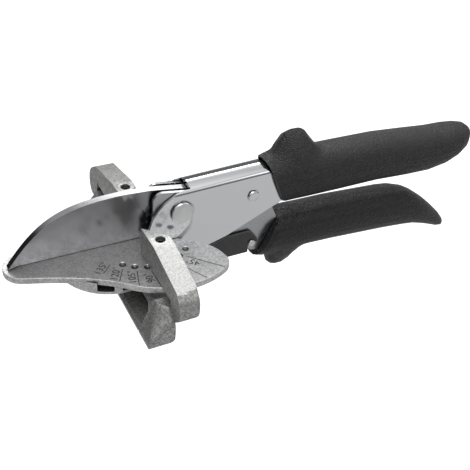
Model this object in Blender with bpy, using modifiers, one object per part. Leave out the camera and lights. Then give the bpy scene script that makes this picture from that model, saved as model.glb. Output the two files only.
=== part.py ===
# Mitre shears: an anvil table on the upper handle, a blade on the lower handle and a fence that swivels
# on the table. X runs from the table's nose to the grips, Y lies across, Z is up. Places are worked out
# from the point where the fence's axis meets the table's face. The whole tool then hangs from one empty,
# which lifts it until the flat end of the fence's screw, on the same axis, lies at the origin.

import math

import bmesh
import bpy
from mathutils import Matrix, Vector

MM = 0.001

# Clearances and cutters
GAP = 0.3 * MM
SLACK = 0.6 * MM
OVERRUN = 3.0 * MM
EASE = 0.002 * MM
LAP = 0.5 * MM
WELD = 0.001 * MM

# How finely round forms are divided
WIDE_SIDES = 44
ROUND_SIDES = 32
SMALL_SIDES = 24
TINY_SIDES = 20
HEX_SIDES = 6
BALL_SIDES = (16, 10)
DIMPLE_SIDES = (12, 6)

# Angles in degrees: faces that meet at less than the first count as one, at less than the others as smooth
FLAT_DEG = 1.0
SMOOTH_DEG = 35.0
GRIP_SMOOTH_DEG = 60.0
CORNER_DEG = 60.0

# Anvil table
TABLE_THICK = 3.2 * MM
NOSE_REACH = 65.0 * MM
NOSE_RADIUS = 9.0 * MM
NOSE_TURN_SHARE = 0.78
DISC_CENTRE_X = 8.5 * MM
DISC_RADIUS = 39.0 * MM
DISC_START_SHARE = 0.625
LOBE_RADIUS = 7.2 * MM
LOBE_TURN_SHARE = 0.83
LOBE_END_SHARE = 1.05
FLANK_PULL_SHARES = (0.6565, 0.43)
BACK_X = 14.4 * MM
BACK_PULL_SHARES = (0.88, 0.40)
NOSE_STEPS = 8
FLANK_STEPS = 9
DISC_STEPS = 14
LOBE_STEPS = 8
BACK_STEPS = 8
TABLE_EDGE_BEVEL = 0.35 * MM
TABLE_EDGE_DEG = 50.0
RING_CENTRE_X = -16.0 * MM
RING_RADIUS = 25.6 * MM
RING_WALL = 8.0 * MM
POCKET_DEPTH = 5.5 * MM
HUB_DEPTH = 8.4 * MM
WEB_DEPTH = 8.0 * MM
RING_DEPTH = 7.6 * MM
RING_REAR_X = -0.9 * MM
HUB_RADIUS = 8.0 * MM
WINDOW_LONG = 7.6 * MM
WINDOW_HIGH = 2.9 * MM
WINDOW_TURN_SHARES = (0.685, 0.755)
WEB_REACH = 40.0 * MM
DETENT_RADIUS = 21.7 * MM
DETENT_STEP_DEG = 15.0
DETENT_STEPS = 3
DIMPLE_BALL_RADIUS = 2.2 * MM
DIMPLE_DEPTH = 1.0 * MM

# Upper channel
UPPER_HALF = 6.5 * MM
UPPER_SHEET = 1.5 * MM
UPPER_BEND_RADIUS = 2.8 * MM
UPPER_BEND_STEPS = 5
ROOF_FRONT_X = 21.5 * MM
ROOF_FRONT_Z = 26.5 * MM
ROOF_STEP = 1.2 * MM
ROOF_CROWN = 0.7 * MM
ROOF_QUARTER_SHARE = 0.75
GRIP_FRONT_X = 63.0 * MM
ROOF_GRIP_Z = 27.9 * MM
CHEEK_FRONT_X = 0.6 * MM
LUG_BOTTOM_Z = -8.1 * MM
BELLY_X = 31.0 * MM
BELLY_Z = -9.2 * MM
DIAGONAL_FRONT_X = 41.5 * MM
DIAGONAL_FRONT_Z = -6.1 * MM
DIAGONAL_REAR_X = 70.6 * MM
DIAGONAL_REAR_Z = 7.4 * MM
UPPER_TAIL_END_X = 150.0 * MM
UPPER_TAIL_TOP_Z = 23.5 * MM
UPPER_TAIL_BOTTOM_Z = 9.0 * MM

# Main pivot
PIVOT_X = 17.0 * MM
PIVOT_Z = 14.5 * MM
STUD_RADIUS = 3.0 * MM
STUD_HEAD_RADIUS = 5.5 * MM
STUD_FACE_RADIUS = 4.7 * MM
STUD_HEAD_THICK = 1.3 * MM
STUD_FACE_THICK = 0.6 * MM
CAP_RADIUS = 5.2 * MM
CAP_THICK = 1.6 * MM
BUSH_WALL = 1.0 * MM
WASHER_RADIUS = 6.2 * MM

# Lower channel
LOWER_HALF = 4.7 * MM
LOWER_SHEET = 1.5 * MM
LOWER_SWEEP_RADIUS = 13.6 * MM
LOWER_SWEEP_DEG = (-118.0, -64.0)
LOWER_SWEEP_STEPS = 6
LOWER_FRONT_X = 3.4 * MM
LOWER_FRONT_TOP_Z = 25.9 * MM
LOWER_FRONT_RADIUS = 4.6 * MM
LOWER_FRONT_STEPS = 5
LOWER_FRONT_LOW_Z = 5.0 * MM
LOWER_SHOULDER_X = 27.0 * MM
LOWER_SHOULDER_Z = 22.6 * MM
LOWER_SADDLE_X = 47.0 * MM
LOWER_SADDLE_Z = 8.6 * MM
LOWER_REAR_X = 66.0 * MM
LOWER_REAR_Z = 5.0 * MM
LOWER_CHIN_X = 30.0 * MM
LOWER_CHIN_Z = -0.2 * MM
LOWER_KNEE_X = 38.0 * MM
LOWER_KNEE_Z = -5.4 * MM
LOWER_HEEL_X = 57.0 * MM
LOWER_HEEL_Z = -20.9 * MM
LOWER_NECK_X = 71.0 * MM
LOWER_NECK_Z = -6.0 * MM
LOWER_TAIL_END_X = 140.0 * MM
LOWER_TAIL_TOP_Z = -12.0 * MM
LOWER_TAIL_BOTTOM_Z = -24.5 * MM
LOWER_NECK_LOW_X = 70.0 * MM
LOWER_NECK_LOW_Z = -22.6 * MM

# Blade
BLADE_HALF = 1.7 * MM
BLADE_EDGE_HALF = 0.12 * MM
BLADE_TIP_X = -62.8 * MM
BLADE_TIP_Z = 0.9 * MM
BLADE_TOP_X = -8.0 * MM
BLADE_TOP_Z = 27.3 * MM
BLADE_TIP_PULL = 27.0 * MM
BLADE_TIP_ANGLE_DEG = 55.0
BLADE_TOP_PULL = 28.0 * MM
BLADE_HEEL_X = 12.0 * MM
BLADE_MOUTH_Z = 23.8 * MM
BLADE_STATIONS = 18
BLADE_TANG_REAR_X = 31.0 * MM
BLADE_RIVET_RADIUS = 2.0 * MM
BLADE_RIVET_REACH = 9.6 * MM
BLADE_RIVET_ANGLES_DEG = (10.0, -62.0)
TANG_SWEEP_DEG = (-105.0, -40.0)
TANG_SWEEP_STEPS = 8

# Rivets through the channel's lugs
LUG_RIVET_XS = (6.4 * MM, 12.0 * MM)
LUG_RIVET_Z = -5.8 * MM
LUG_RIVET_RADIUS = 1.4 * MM
LUG_RIVET_HEAD_RADIUS = 2.1 * MM
LUG_RIVET_HEAD_THICK = 0.9 * MM

# Return spring and its rivet
SPRING_RIVET_X = 54.0 * MM
SPRING_RIVET_Z = 14.6 * MM
SPRING_RIVET_RADIUS = 1.8 * MM
SPRING_RIVET_HEAD_RADIUS = 2.8 * MM
SPRING_RIVET_HEAD_THICK = 1.2 * MM
WIRE_RADIUS = 0.75 * MM
COIL_RADIUS = 3.3 * MM
COIL_PITCH = 1.95 * MM
COIL_TURNS = 3
COIL_STEPS = 12
ROOF_LEG_X = 34.0 * MM
FLOOR_LEG_X = 49.0 * MM

# Fence carriage
FENCE_FACE_X = -5.0 * MM
ARM_WIDE = 10.0 * MM
ARM_TIP = 11.1 * MM
ARM_HIGH = 14.45 * MM
ARM_BEND = 26.4 * MM
ARM_END = 51.7 * MM
ARM_END_HIGH = 8.8 * MM
ARM_END_LOWS = (-11.0 * MM, -7.4 * MM)
ARM_BULGES = (10.0 * MM, 4.0 * MM)
REAR_END_SHARES = (
    (0.62, 0.00), (0.82, 0.05), (0.95, 0.18), (1.00, 0.35), (0.95, 0.53), (0.80, 0.68), (0.55, 0.81), (0.30, 0.90)
)
FRONT_END_SHARES = ((0.86, 0.20), (1.00, 0.36), (1.00, 0.62), (0.88, 0.73), (0.62, 0.83), (0.30, 0.91))
ARM_SOFT = 0.5 * MM
ARM_CORNER = 1.7 * MM
THROAT_ENDS = (49.7 * MM, 45.7 * MM)
THROAT_LOW = -4.2 * MM
BRIDGE_TOP = -8.8 * MM
BRIDGE_BOTTOM = -20.8 * MM
BRIDGE_NOSE_X = -16.6 * MM
BRIDGE_NOSE_TOP_X = -7.6 * MM
BRIDGE_TOE = 51.2 * MM
BRIDGE_BROW = 29.8 * MM
BRIDGE_CORNER = 1.5 * MM
SHELF_START = 38.0 * MM
SHELF_NOSE_X = -9.4 * MM
SHELF_RISE = 0.5 * MM
WINDOW_START = 14.0 * MM
WINDOW_BROW = 29.2 * MM
WINDOW_END = 40.2 * MM
WINDOW_TOP = -10.0 * MM
WINDOW_BOTTOM = -17.9 * MM
WINDOW_NOTCH = 1.5 * MM
WINDOW_NOTCH_SHARE = 1.4
WINDOW_FLOOR_X = -6.4 * MM
WINDOW_BAR_X = -8.6 * MM
WINDOW_BAR_LOW = -13.4 * MM
HUB_WEB_REACH = 22.0 * MM
HUB_WEB_BOTTOM = -17.6 * MM
RIB_REACH = 43.0 * MM
RIB_BOTTOM = -12.4 * MM
RIB_BACK_X = 3.6 * MM
FENCE_BOSS_RADIUS = 9.2 * MM
FENCE_SCREW_RADIUS = 2.5 * MM
FENCE_SCREW_HEAD_RADIUS = 4.6 * MM
FENCE_SCREW_HEAD_THICK = 2.5 * MM
FENCE_SCREW_DEPTH = 2.7 * MM
FENCE_WASHER_RADIUS = 6.6 * MM
FENCE_WASHER_THICK = 1.0 * MM
COUNTERBORE_DEPTH = 4.4 * MM

# Up the outer end of the fence's block: share of the way up to the rim's slot, share of the way from the
# arm's end in to the slot's end, share of the bottom corner's rounding
BLOCK_SHARES = (
    (0.00, 0.00, 1.00),
    (0.03, 0.00, 0.55),
    (0.09, 0.00, 0.22),
    (0.17, 0.00, 0.03),
    (0.38, 0.00, 0.00),
    (0.57, 0.02, 0.00),
    (0.72, 0.13, 0.00),
    (0.86, 0.45, 0.00),
    (1.00, 1.00, 0.00),
)
BLOCK_SINK = 0.1 * MM
BLOCK_CORNER = 3.6 * MM

# Detents in the arms
DETENT_HOLE_RADIUS = 2.4 * MM
DETENT_BALL_RADIUS = 2.05 * MM
DETENT_SPRING_LONG = 2.4 * MM
DETENT_WIRE_RADIUS = 0.25 * MM
DETENT_TURNS = 3
DETENT_COIL_STEPS = 10
DETENT_SCREW_TOP = 13.0 * MM
DETENT_SOCKET_RADIUS = 1.3 * MM
DETENT_SOCKET_DEPTH = 2.4 * MM

# Catch
CATCH_PIN_X = 56.0 * MM
CATCH_PIN_Z = -14.9 * MM
CATCH_PIN_RADIUS = 1.4 * MM
CATCH_PIN_HEAD_THICK = 0.8 * MM
CATCH_HALF = 6.3 * MM
CATCH_EYE_RADIUS = 3.4 * MM
CATCH_EYE_SHARES = (0.9, 0.6)
CATCH_TIP_LONG = 4.2 * MM
CATCH_TOP_Z = -7.4 * MM
CATCH_BOTTOM_Z = -20.5 * MM
CATCH_RIGHT_X = 54.3 * MM
CATCH_LEFT_X = 31.5 * MM
CATCH_LEFT_TOP_Z = -10.2 * MM
CATCH_LEFT_LOW_Z = -14.5 * MM
CATCH_CHIN_X = 37.0 * MM
CATCH_WEB_REAR_X = 49.0 * MM

# Grips: how many points go round and the sizes along each
RING_POINTS = 20
COARSE_RINGS = 18
FINE_RINGS = 46
FINE_END_SHARE = 0.33
NEAR_SHARE = 0.006
GRIP_HALF_WIDE = 10.0 * MM
GRIP_SQUARE_SHARE = 0.86
GUARD_TALL = 12.6 * MM
GUARD_X = 80.6 * MM
GUARD_LONG = 7.4 * MM
FINGER_GUARD_TALL = 11.5 * MM
FINGER_GUARD_X = 79.4 * MM
FINGER_GUARD_LONG = 6.0 * MM
GUARD_NARROW = 4.0
GUARD_FLAT = 1.5
LEAN_END_SHARE = 0.2
UPPER_LEAN_SHARE = 0.40
LOWER_LEAN_SHARE = -0.48
UPPER_GRIP_FRONT_X = 66.3 * MM
UPPER_GRIP_END_X = 188.8 * MM
UPPER_GRIP_MID_Z = 17.6 * MM
UPPER_GRIP_HALF_HIGH = 13.4 * MM
LOWER_GRIP_FRONT_X = 64.6 * MM
LOWER_GRIP_END_X = 187.4 * MM
LOWER_GRIP_MID_Z = -14.6 * MM
LOWER_GRIP_HALF_HIGH = 12.6 * MM
LOWER_GRIP_DROP = 26.0 * MM

# Along each grip: share of its length, share of half height, share of half width, share of its middle's drop
UPPER_GRIP_SHARES = (
    (0.00, 0.94, 0.96, 0.00),
    (0.02, 1.00, 1.00, 0.00),
    (0.06, 1.00, 1.00, 0.00),
    (0.14, 1.01, 1.00, 0.02),
    (0.30, 1.01, 1.00, 0.05),
    (0.50, 0.99, 1.00, 0.10),
    (0.66, 0.97, 1.00, 0.50),
    (0.78, 0.93, 0.99, 0.75),
    (0.87, 0.85, 0.96, 0.55),
    (0.93, 0.71, 0.86, 0.22),
    (0.97, 0.54, 0.69, -0.10),
    (0.99, 0.35, 0.46, -0.35),
    (1.00, 0.13, 0.18, -0.45),
)
LOWER_GRIP_SHARES = (
    (0.00, 0.92, 0.94, 0.00),
    (0.02, 0.98, 1.00, 0.00),
    (0.08, 0.98, 1.00, 0.00),
    (0.18, 0.97, 1.00, 0.01),
    (0.32, 0.99, 1.00, 0.03),
    (0.48, 1.00, 1.00, 0.08),
    (0.598, 1.00, 1.00, 0.117),
    (0.656, 0.985, 1.00, 0.15),
    (0.719, 0.91, 0.98, 0.215),
    (0.777, 0.78, 0.96, 0.31),
    (0.842, 0.65, 0.86, 0.475),
    (0.899, 0.52, 0.72, 0.65),
    (0.948, 0.40, 0.58, 0.815),
    (0.985, 0.25, 0.38, 0.945),
    (1.00, 0.09, 0.18, 1.00),
)
UPPER_GRIP_DROP = -3.6 * MM

# Points that share out the cheek's rounded front between its top and its foot
CHEEK_CURVE_SHARES = (
    (0.82, 1.00),
    (0.63, 0.955),
    (0.40, 0.83),
    (0.23, 0.69),
    (0.11, 0.53),
    (0.03, 0.33),
)

COLOURS = {
    "chrome": ((0.80, 0.81, 0.83), 0.07, 1.0),
    "satin": ((0.68, 0.69, 0.71), 0.30, 1.0),
    "blade": ((0.62, 0.63, 0.65), 0.20, 1.0),
    "cast": ((0.48, 0.48, 0.48), 0.48, 1.0),
    "bright": ((0.72, 0.73, 0.75), 0.22, 1.0),
    "spring": ((0.30, 0.31, 0.33), 0.35, 1.0),
    "grip": ((0.018, 0.018, 0.020), 0.62, 0.0),
    "catch": ((0.022, 0.022, 0.024), 0.45, 0.0),
}

# How a form drawn upright along Z turns to lie along another axis
TURNS = {
    "Z": Matrix.Identity(3),
    "Y": Matrix(((1, 0, 0), (0, 0, -1), (0, 1, 0))),
    "X": Matrix(((0, 0, 1), (1, 0, 0), (0, 1, 0))),
}
AXES = {"X": Vector((1, 0, 0)), "Y": Vector((0, 1, 0)), "Z": Vector((0, 0, 1))}


def clear_scene():
    for thing in list(bpy.data.objects):
        bpy.data.objects.remove(thing, do_unlink=True)


def collection(name):
    made = bpy.data.collections.new(name)
    bpy.context.scene.collection.children.link(made)
    return made


def finish_material(name):
    colour, roughness, metallic = COLOURS[name]
    made = bpy.data.materials.new(name)
    made.use_nodes = True
    shader = made.node_tree.nodes["Principled BSDF"]
    shader.inputs["Base Color"].default_value = (*colour, 1.0)
    shader.inputs["Roughness"].default_value = roughness
    shader.inputs["Metallic"].default_value = metallic
    made.diffuse_color = (*colour, 1.0)
    return made


def link(thing, where):
    where.objects.link(thing)
    return thing


def as_mesh(holder, where):
    # the evaluated curve becomes a mesh at the same place, with its caps welded on
    bpy.context.view_layer.update()
    seen = holder.evaluated_get(bpy.context.evaluated_depsgraph_get())
    mesh = bpy.data.meshes.new_from_object(seen)
    body = bmesh.new()
    body.from_mesh(mesh)
    bmesh.ops.remove_doubles(body, verts=body.verts, dist=WELD)
    bmesh.ops.recalc_face_normals(body, faces=body.faces)
    body.to_mesh(mesh)
    body.free()
    mesh.name = holder.name
    made = bpy.data.objects.new(holder.name + "_mesh", mesh)
    made.matrix_world = holder.matrix_world.copy()
    name = holder.name
    bpy.data.objects.remove(holder, do_unlink=True)
    made.name = name
    return link(made, where)


def flat_solid(name, outline, low, high, across, where):
    # a closed outline given a thickness from low to high along one axis
    curve = bpy.data.curves.new(name, "CURVE")
    curve.dimensions = "2D"
    curve.fill_mode = "BOTH"
    curve.extrude = (high - low) / 2
    spline = curve.splines.new("POLY")
    spline.points.add(len(outline) - 1)
    for point, (a, b) in zip(spline.points, outline):
        point.co = (a, b, 0, 1)
    spline.use_cyclic_u = True
    holder = bpy.data.objects.new(name, curve)
    holder.matrix_world = Matrix.Translation(AXES[across] * (low + high) / 2) @ TURNS[across].to_4x4()
    return as_mesh(link(holder, where), where)


def box(name, low, high, where):
    body = bmesh.new()
    bmesh.ops.create_cube(body, size=1.0)
    size = Vector(high) - Vector(low)
    bmesh.ops.scale(body, vec=size, verts=body.verts)
    mesh = bpy.data.meshes.new(name)
    body.to_mesh(mesh)
    body.free()
    made = bpy.data.objects.new(name, mesh)
    made.location = (Vector(low) + Vector(high)) / 2
    return link(made, where)


def rod(name, radius, low, high, across, at, where, sides=ROUND_SIDES):
    # a cylinder along an axis between two levels, at the two other coordinates
    body = bmesh.new()
    bmesh.ops.create_cone(
        body, cap_ends=True, segments=sides, radius1=radius, radius2=radius, depth=high - low
    )
    mesh = bpy.data.meshes.new(name)
    body.to_mesh(mesh)
    body.free()
    made = bpy.data.objects.new(name, mesh)
    made.rotation_euler = TURNS[across].to_euler()
    made.location = centre_of(across, (low + high) / 2, at)
    return link(made, where)


def centre_of(across, level, at):
    first, second = at
    return {
        "X": Vector((level, first, second)),
        "Y": Vector((first, level, second)),
        "Z": Vector((first, second, level)),
    }[across]


def turned(name, profile, across, at, where, sides=WIDE_SIDES):
    # a profile of (radius, level) turned about an axis, from the top of its outer side down
    mesh = bpy.data.meshes.new(name)
    closed = profile[0] == profile[-1]
    points = [(radius, 0.0, level) for radius, level in (profile[:-1] if closed else profile)]
    edges = [(i, i + 1) for i in range(len(points) - 1)]
    if closed:
        edges.append((len(points) - 1, 0))
    mesh.from_pydata(points, edges, [])
    made = bpy.data.objects.new(name, mesh)
    made.rotation_euler = TURNS[across].to_euler()
    made.location = centre_of(across, 0.0, at)
    screw = made.modifiers.new("turn", "SCREW")
    screw.axis = "Z"
    screw.steps = sides
    screw.render_steps = sides
    screw.use_merge_vertices = True
    screw.merge_threshold = WELD
    return link(made, where)


def loft(name, rings, where):
    # sides between rings of equal point counts, and a cap at each end
    body = bmesh.new()
    rows = [[body.verts.new(point) for point in ring] for ring in rings]
    count = len(rows[0])
    for near, far in zip(rows, rows[1:]):
        for i in range(count):
            j = (i + 1) % count
            body.faces.new((near[i], near[j], far[j], far[i]))
    body.faces.new(tuple(reversed(rows[0])))
    body.faces.new(tuple(rows[-1]))
    bmesh.ops.triangulate(body, faces=body.faces)
    bmesh.ops.recalc_face_normals(body, faces=body.faces)
    mesh = bpy.data.meshes.new(name)
    body.to_mesh(mesh)
    body.free()
    return link(bpy.data.objects.new(name, mesh), where)


def combine(target, tool, how):
    made = target.modifiers.new(how.lower() + "_" + tool.name, "BOOLEAN")
    made.operation = how
    made.solver = "EXACT"
    made.object = tool
    tool.hide_render = True
    tool.display_type = "WIRE"


def cut(target, tool):
    combine(target, tool, "DIFFERENCE")


def join(target, tool):
    combine(target, tool, "UNION")


def smooth(thing, degrees=SMOOTH_DEG):
    thing.data.shade_smooth()
    thing.data.set_sharp_from_angle(angle=math.radians(degrees))


def arc(centre, radius, start, end, steps):
    points = []
    for i in range(steps + 1):
        angle = start + (end - start) * i / steps
        points.append((centre[0] + radius * math.cos(angle), centre[1] + radius * math.sin(angle)))
    return points


def bend(start, pull, end, steps):
    # a quadratic curve without its first point
    points = []
    for i in range(1, steps + 1):
        t = i / steps
        points.append(
            tuple(
                (1 - t) ** 2 * a + 2 * t * (1 - t) * b + t**2 * c
                for a, b, c in zip(start, pull, end)
            )
        )
    return points


def mirrored(half):
    # an outline closed with its mirror image across the X axis
    return half + [(x, -y) for x, y in reversed(half) if abs(y) > WELD]


def table_outline():
    nose_x = NOSE_RADIUS - NOSE_REACH
    half = arc((nose_x, 0.0), NOSE_RADIUS, math.pi, math.pi * (1 + NOSE_TURN_SHARE / 2), NOSE_STEPS)
    disc = arc(
        (DISC_CENTRE_X, 0.0),
        DISC_RADIUS,
        math.tau * DISC_START_SHARE,
        math.tau * LOBE_TURN_SHARE,
        DISC_STEPS,
    )
    lobe_turn = math.tau * LOBE_TURN_SHARE
    inner = DISC_RADIUS - LOBE_RADIUS
    lobe_at = (DISC_CENTRE_X + inner * math.cos(lobe_turn), inner * math.sin(lobe_turn))
    lobe = arc(lobe_at, LOBE_RADIUS, lobe_turn, math.tau * LOBE_END_SHARE, LOBE_STEPS)
    start, end = half[-1], disc[0]
    pull = (
        start[0] + (end[0] - start[0]) * FLANK_PULL_SHARES[0],
        start[1] + (end[1] - start[1]) * FLANK_PULL_SHARES[1],
    )
    half += bend(start, pull, end, FLANK_STEPS) + disc[1:] + lobe[1:]
    rear = (BACK_X, -UPPER_HALF)
    corner = half[-1]
    pull = (
        rear[0] + (corner[0] - rear[0]) * BACK_PULL_SHARES[0],
        rear[1] + (corner[1] - rear[1]) * BACK_PULL_SHARES[1],
    )
    half += bend(corner, pull, rear, BACK_STEPS)
    return mirrored(half)


def anvil_table(parts, tools):
    table = flat_solid("anvil_table", table_outline(), -TABLE_THICK, 0.0, "Z", parts)
    bevel = table.modifiers.new("edge", "BEVEL")
    bevel.width = TABLE_EDGE_BEVEL
    bevel.segments = 1
    bevel.limit_method = "ANGLE"
    bevel.angle_limit = math.radians(TABLE_EDGE_DEG)
    ring_at = (RING_CENTRE_X, 0.0)
    ring_top = -TABLE_THICK / 2
    ring = rod("table_ring", RING_RADIUS, -RING_DEPTH, ring_top, "Z", ring_at, tools, WIDE_SIDES)
    ring_bore = rod(
        "table_ring_bore",
        RING_RADIUS - RING_WALL,
        -HUB_DEPTH - OVERRUN,
        OVERRUN,
        "Z",
        ring_at,
        tools,
        WIDE_SIDES,
    )
    ring_end = box(
        "table_ring_end",
        (RING_REAR_X, -RING_RADIUS * 2, -HUB_DEPTH - OVERRUN),
        (RING_RADIUS * 2, RING_RADIUS * 2, OVERRUN),
        tools,
    )
    for tool in (ring_bore, ring_end):
        cut(ring, tool)
    for side in (1, -1):
        for i, share in enumerate(WINDOW_TURN_SHARES):
            window = box(
                f"table_window_{side}_{i}",
                (-POCKET_DEPTH, -WINDOW_LONG / 2, 0.0),
                (POCKET_DEPTH, WINDOW_LONG / 2, TABLE_THICK + WINDOW_HIGH),
                tools,
            )
            turn = math.tau * share * side
            window.rotation_euler = (0.0, 0.0, turn)
            window.location = (
                RING_CENTRE_X + RING_RADIUS * math.cos(turn),
                RING_RADIUS * math.sin(turn),
                -(TABLE_THICK + WINDOW_HIGH) / 2,
            )
            cut(ring, window)
    web_half = UPPER_HALF - UPPER_SHEET - GAP
    web = box(
        "table_web",
        (-WEB_REACH, -web_half, -WEB_DEPTH),
        (BACK_X, web_half, -TABLE_THICK / 2),
        tools,
    )
    hub = rod("table_hub", HUB_RADIUS, -HUB_DEPTH, -TABLE_THICK / 2, "Z", (0.0, 0.0), tools)
    for tool in (ring, hub, web):
        join(table, tool)
    for side in (1, -1):
        lows = sorted((side * (UPPER_HALF - UPPER_SHEET - GAP), side * (UPPER_HALF + GAP)))
        slot = box(
            f"table_slot_{side}",
            (CHEEK_FRONT_X - GAP, lows[0], -HUB_DEPTH - OVERRUN),
            (BACK_X + OVERRUN, lows[1], OVERRUN),
            tools,
        )
        cut(table, slot)
        for step in range(-DETENT_STEPS, DETENT_STEPS + 1):
            cut(table, dimple(side, step, tools))
    for i, x in enumerate(LUG_RIVET_XS):
        hole = rod(
            f"table_rivet_hole_{i}",
            LUG_RIVET_RADIUS + GAP,
            -UPPER_HALF - OVERRUN,
            UPPER_HALF + OVERRUN,
            "Y",
            (x, LUG_RIVET_Z),
            tools,
            TINY_SIDES,
        )
        cut(table, hole)
    bore = rod(
        "table_screw_hole",
        FENCE_SCREW_RADIUS + GAP,
        -HUB_DEPTH - OVERRUN,
        GAP - FENCE_SCREW_DEPTH,
        "Z",
        (0.0, 0.0),
        tools,
        SMALL_SIDES,
    )
    cut(table, bore)
    return table


def dimple(side, step, tools):
    turn = math.radians(step * DETENT_STEP_DEG)
    body = bmesh.new()
    around, along = DIMPLE_SIDES
    bmesh.ops.create_uvsphere(body, u_segments=around, v_segments=along, radius=DIMPLE_BALL_RADIUS)
    mesh = bpy.data.meshes.new("dimple")
    body.to_mesh(mesh)
    body.free()
    made = bpy.data.objects.new(f"table_dimple_{side}_{step}", mesh)
    made.location = (
        DETENT_RADIUS * math.sin(turn),
        side * DETENT_RADIUS * math.cos(turn),
        DIMPLE_BALL_RADIUS - DIMPLE_DEPTH,
    )
    return link(made, tools)


def roof_z(x):
    # the upper channel's top rises evenly from its mouth to the grip, then falls to the tail's end
    if x <= GRIP_FRONT_X:
        share = (x - ROOF_FRONT_X) / (GRIP_FRONT_X - ROOF_FRONT_X)
        return ROOF_FRONT_Z + (ROOF_GRIP_Z - ROOF_FRONT_Z) * share
    share = (x - GRIP_FRONT_X) / (UPPER_TAIL_END_X - GRIP_FRONT_X)
    return ROOF_GRIP_Z + (UPPER_TAIL_TOP_Z - ROOF_GRIP_Z) * share


def roof_section(x):
    # the channel's outside across Y at one place: two sides, two bends and a slightly crowned roof
    half = UPPER_HALF + EASE
    top = roof_z(x) - ROOF_CROWN
    bend_y = half - UPPER_BEND_RADIUS
    bend_z = top - UPPER_BEND_RADIUS
    near = [(-half, BELLY_Z - OVERRUN)]
    near += [
        (-bend_y + UPPER_BEND_RADIUS * math.cos(turn), bend_z + UPPER_BEND_RADIUS * math.sin(turn))
        for turn in (
            math.pi - math.pi / 2 * i / UPPER_BEND_STEPS for i in range(UPPER_BEND_STEPS + 1)
        )
    ]
    near.append((-bend_y / 2, top + ROOF_CROWN * ROOF_QUARTER_SHARE))
    section = near + [(0.0, top + ROOF_CROWN)] + [(-y, z) for y, z in reversed(near)]
    return [(x, y, z) for y, z in section]


def cheek_front():
    step_z = ROOF_FRONT_Z - ROOF_STEP
    points = [(ROOF_FRONT_X, step_z)]
    for x_share, z_share in CHEEK_CURVE_SHARES:
        points.append((CHEEK_FRONT_X + (ROOF_FRONT_X - CHEEK_FRONT_X) * x_share, step_z * z_share))
    return points + [(CHEEK_FRONT_X, 0.0)]


def upper_outline():
    return [
        (GRIP_FRONT_X, ROOF_GRIP_Z),
        (CHEEK_FRONT_X, roof_z(CHEEK_FRONT_X)),
        (CHEEK_FRONT_X, LUG_BOTTOM_Z),
        (BACK_X + GAP, LUG_BOTTOM_Z),
        (BELLY_X, BELLY_Z),
        (DIAGONAL_FRONT_X, DIAGONAL_FRONT_Z),
        (DIAGONAL_REAR_X, DIAGONAL_REAR_Z),
        (UPPER_TAIL_END_X, UPPER_TAIL_BOTTOM_Z),
        (UPPER_TAIL_END_X, UPPER_TAIL_TOP_Z),
    ]


def upper_channel(parts, tools):
    channel = flat_solid("upper_channel", upper_outline(), -UPPER_HALF, UPPER_HALF, "Y", parts)
    rings = [roof_section(x) for x in (CHEEK_FRONT_X - OVERRUN, GRIP_FRONT_X, UPPER_TAIL_END_X + OVERRUN)]
    combine(channel, loft("upper_section", rings, tools), "INTERSECT")
    front = cheek_front()[:-1] + [
        (CHEEK_FRONT_X - OVERRUN, 0.0),
        (CHEEK_FRONT_X - OVERRUN, ROOF_FRONT_Z + OVERRUN),
        (ROOF_FRONT_X, ROOF_FRONT_Z + OVERRUN),
    ]
    open_front = flat_solid(
        "upper_open_front", front, -UPPER_HALF - OVERRUN, UPPER_HALF + OVERRUN, "Y", tools
    )
    cut(channel, open_front)
    inner_half = UPPER_HALF - UPPER_SHEET
    under = UPPER_SHEET + ROOF_CROWN
    inside = [
        (UPPER_TAIL_END_X + OVERRUN, roof_z(UPPER_TAIL_END_X + OVERRUN) - under),
        (GRIP_FRONT_X, ROOF_GRIP_Z - under),
        (ROOF_FRONT_X, ROOF_FRONT_Z - under),
        (ROOF_FRONT_X, ROOF_FRONT_Z + OVERRUN),
        (-OVERRUN, ROOF_FRONT_Z + OVERRUN),
        (-OVERRUN, BELLY_Z - OVERRUN),
        (UPPER_TAIL_END_X + OVERRUN, BELLY_Z - OVERRUN),
    ]
    hollow = flat_solid("upper_hollow", inside, -inner_half, inner_half, "Y", tools)
    cut(channel, hollow)
    holes = [(STUD_RADIUS, PIVOT_X, PIVOT_Z), (SPRING_RIVET_RADIUS, SPRING_RIVET_X, SPRING_RIVET_Z)]
    holes += [(LUG_RIVET_RADIUS, x, LUG_RIVET_Z) for x in LUG_RIVET_XS]
    cross_holes(channel, holes, UPPER_HALF, tools)
    return channel


def cross_holes(target, holes, half, tools):
    for i, (radius, x, z) in enumerate(holes):
        hole = rod(
            f"{target.name}_hole_{i}",
            radius + GAP,
            -half - OVERRUN,
            half + OVERRUN,
            "Y",
            (x, z),
            tools,
            SMALL_SIDES,
        )
        cut(target, hole)


def pivot_arc(ends, steps):
    # the round of the parts that turn inside the upper channel's lugs
    start, end = (math.radians(degrees) for degrees in ends)
    return arc((PIVOT_X, PIVOT_Z), LOWER_SWEEP_RADIUS, start, end, steps)


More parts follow.
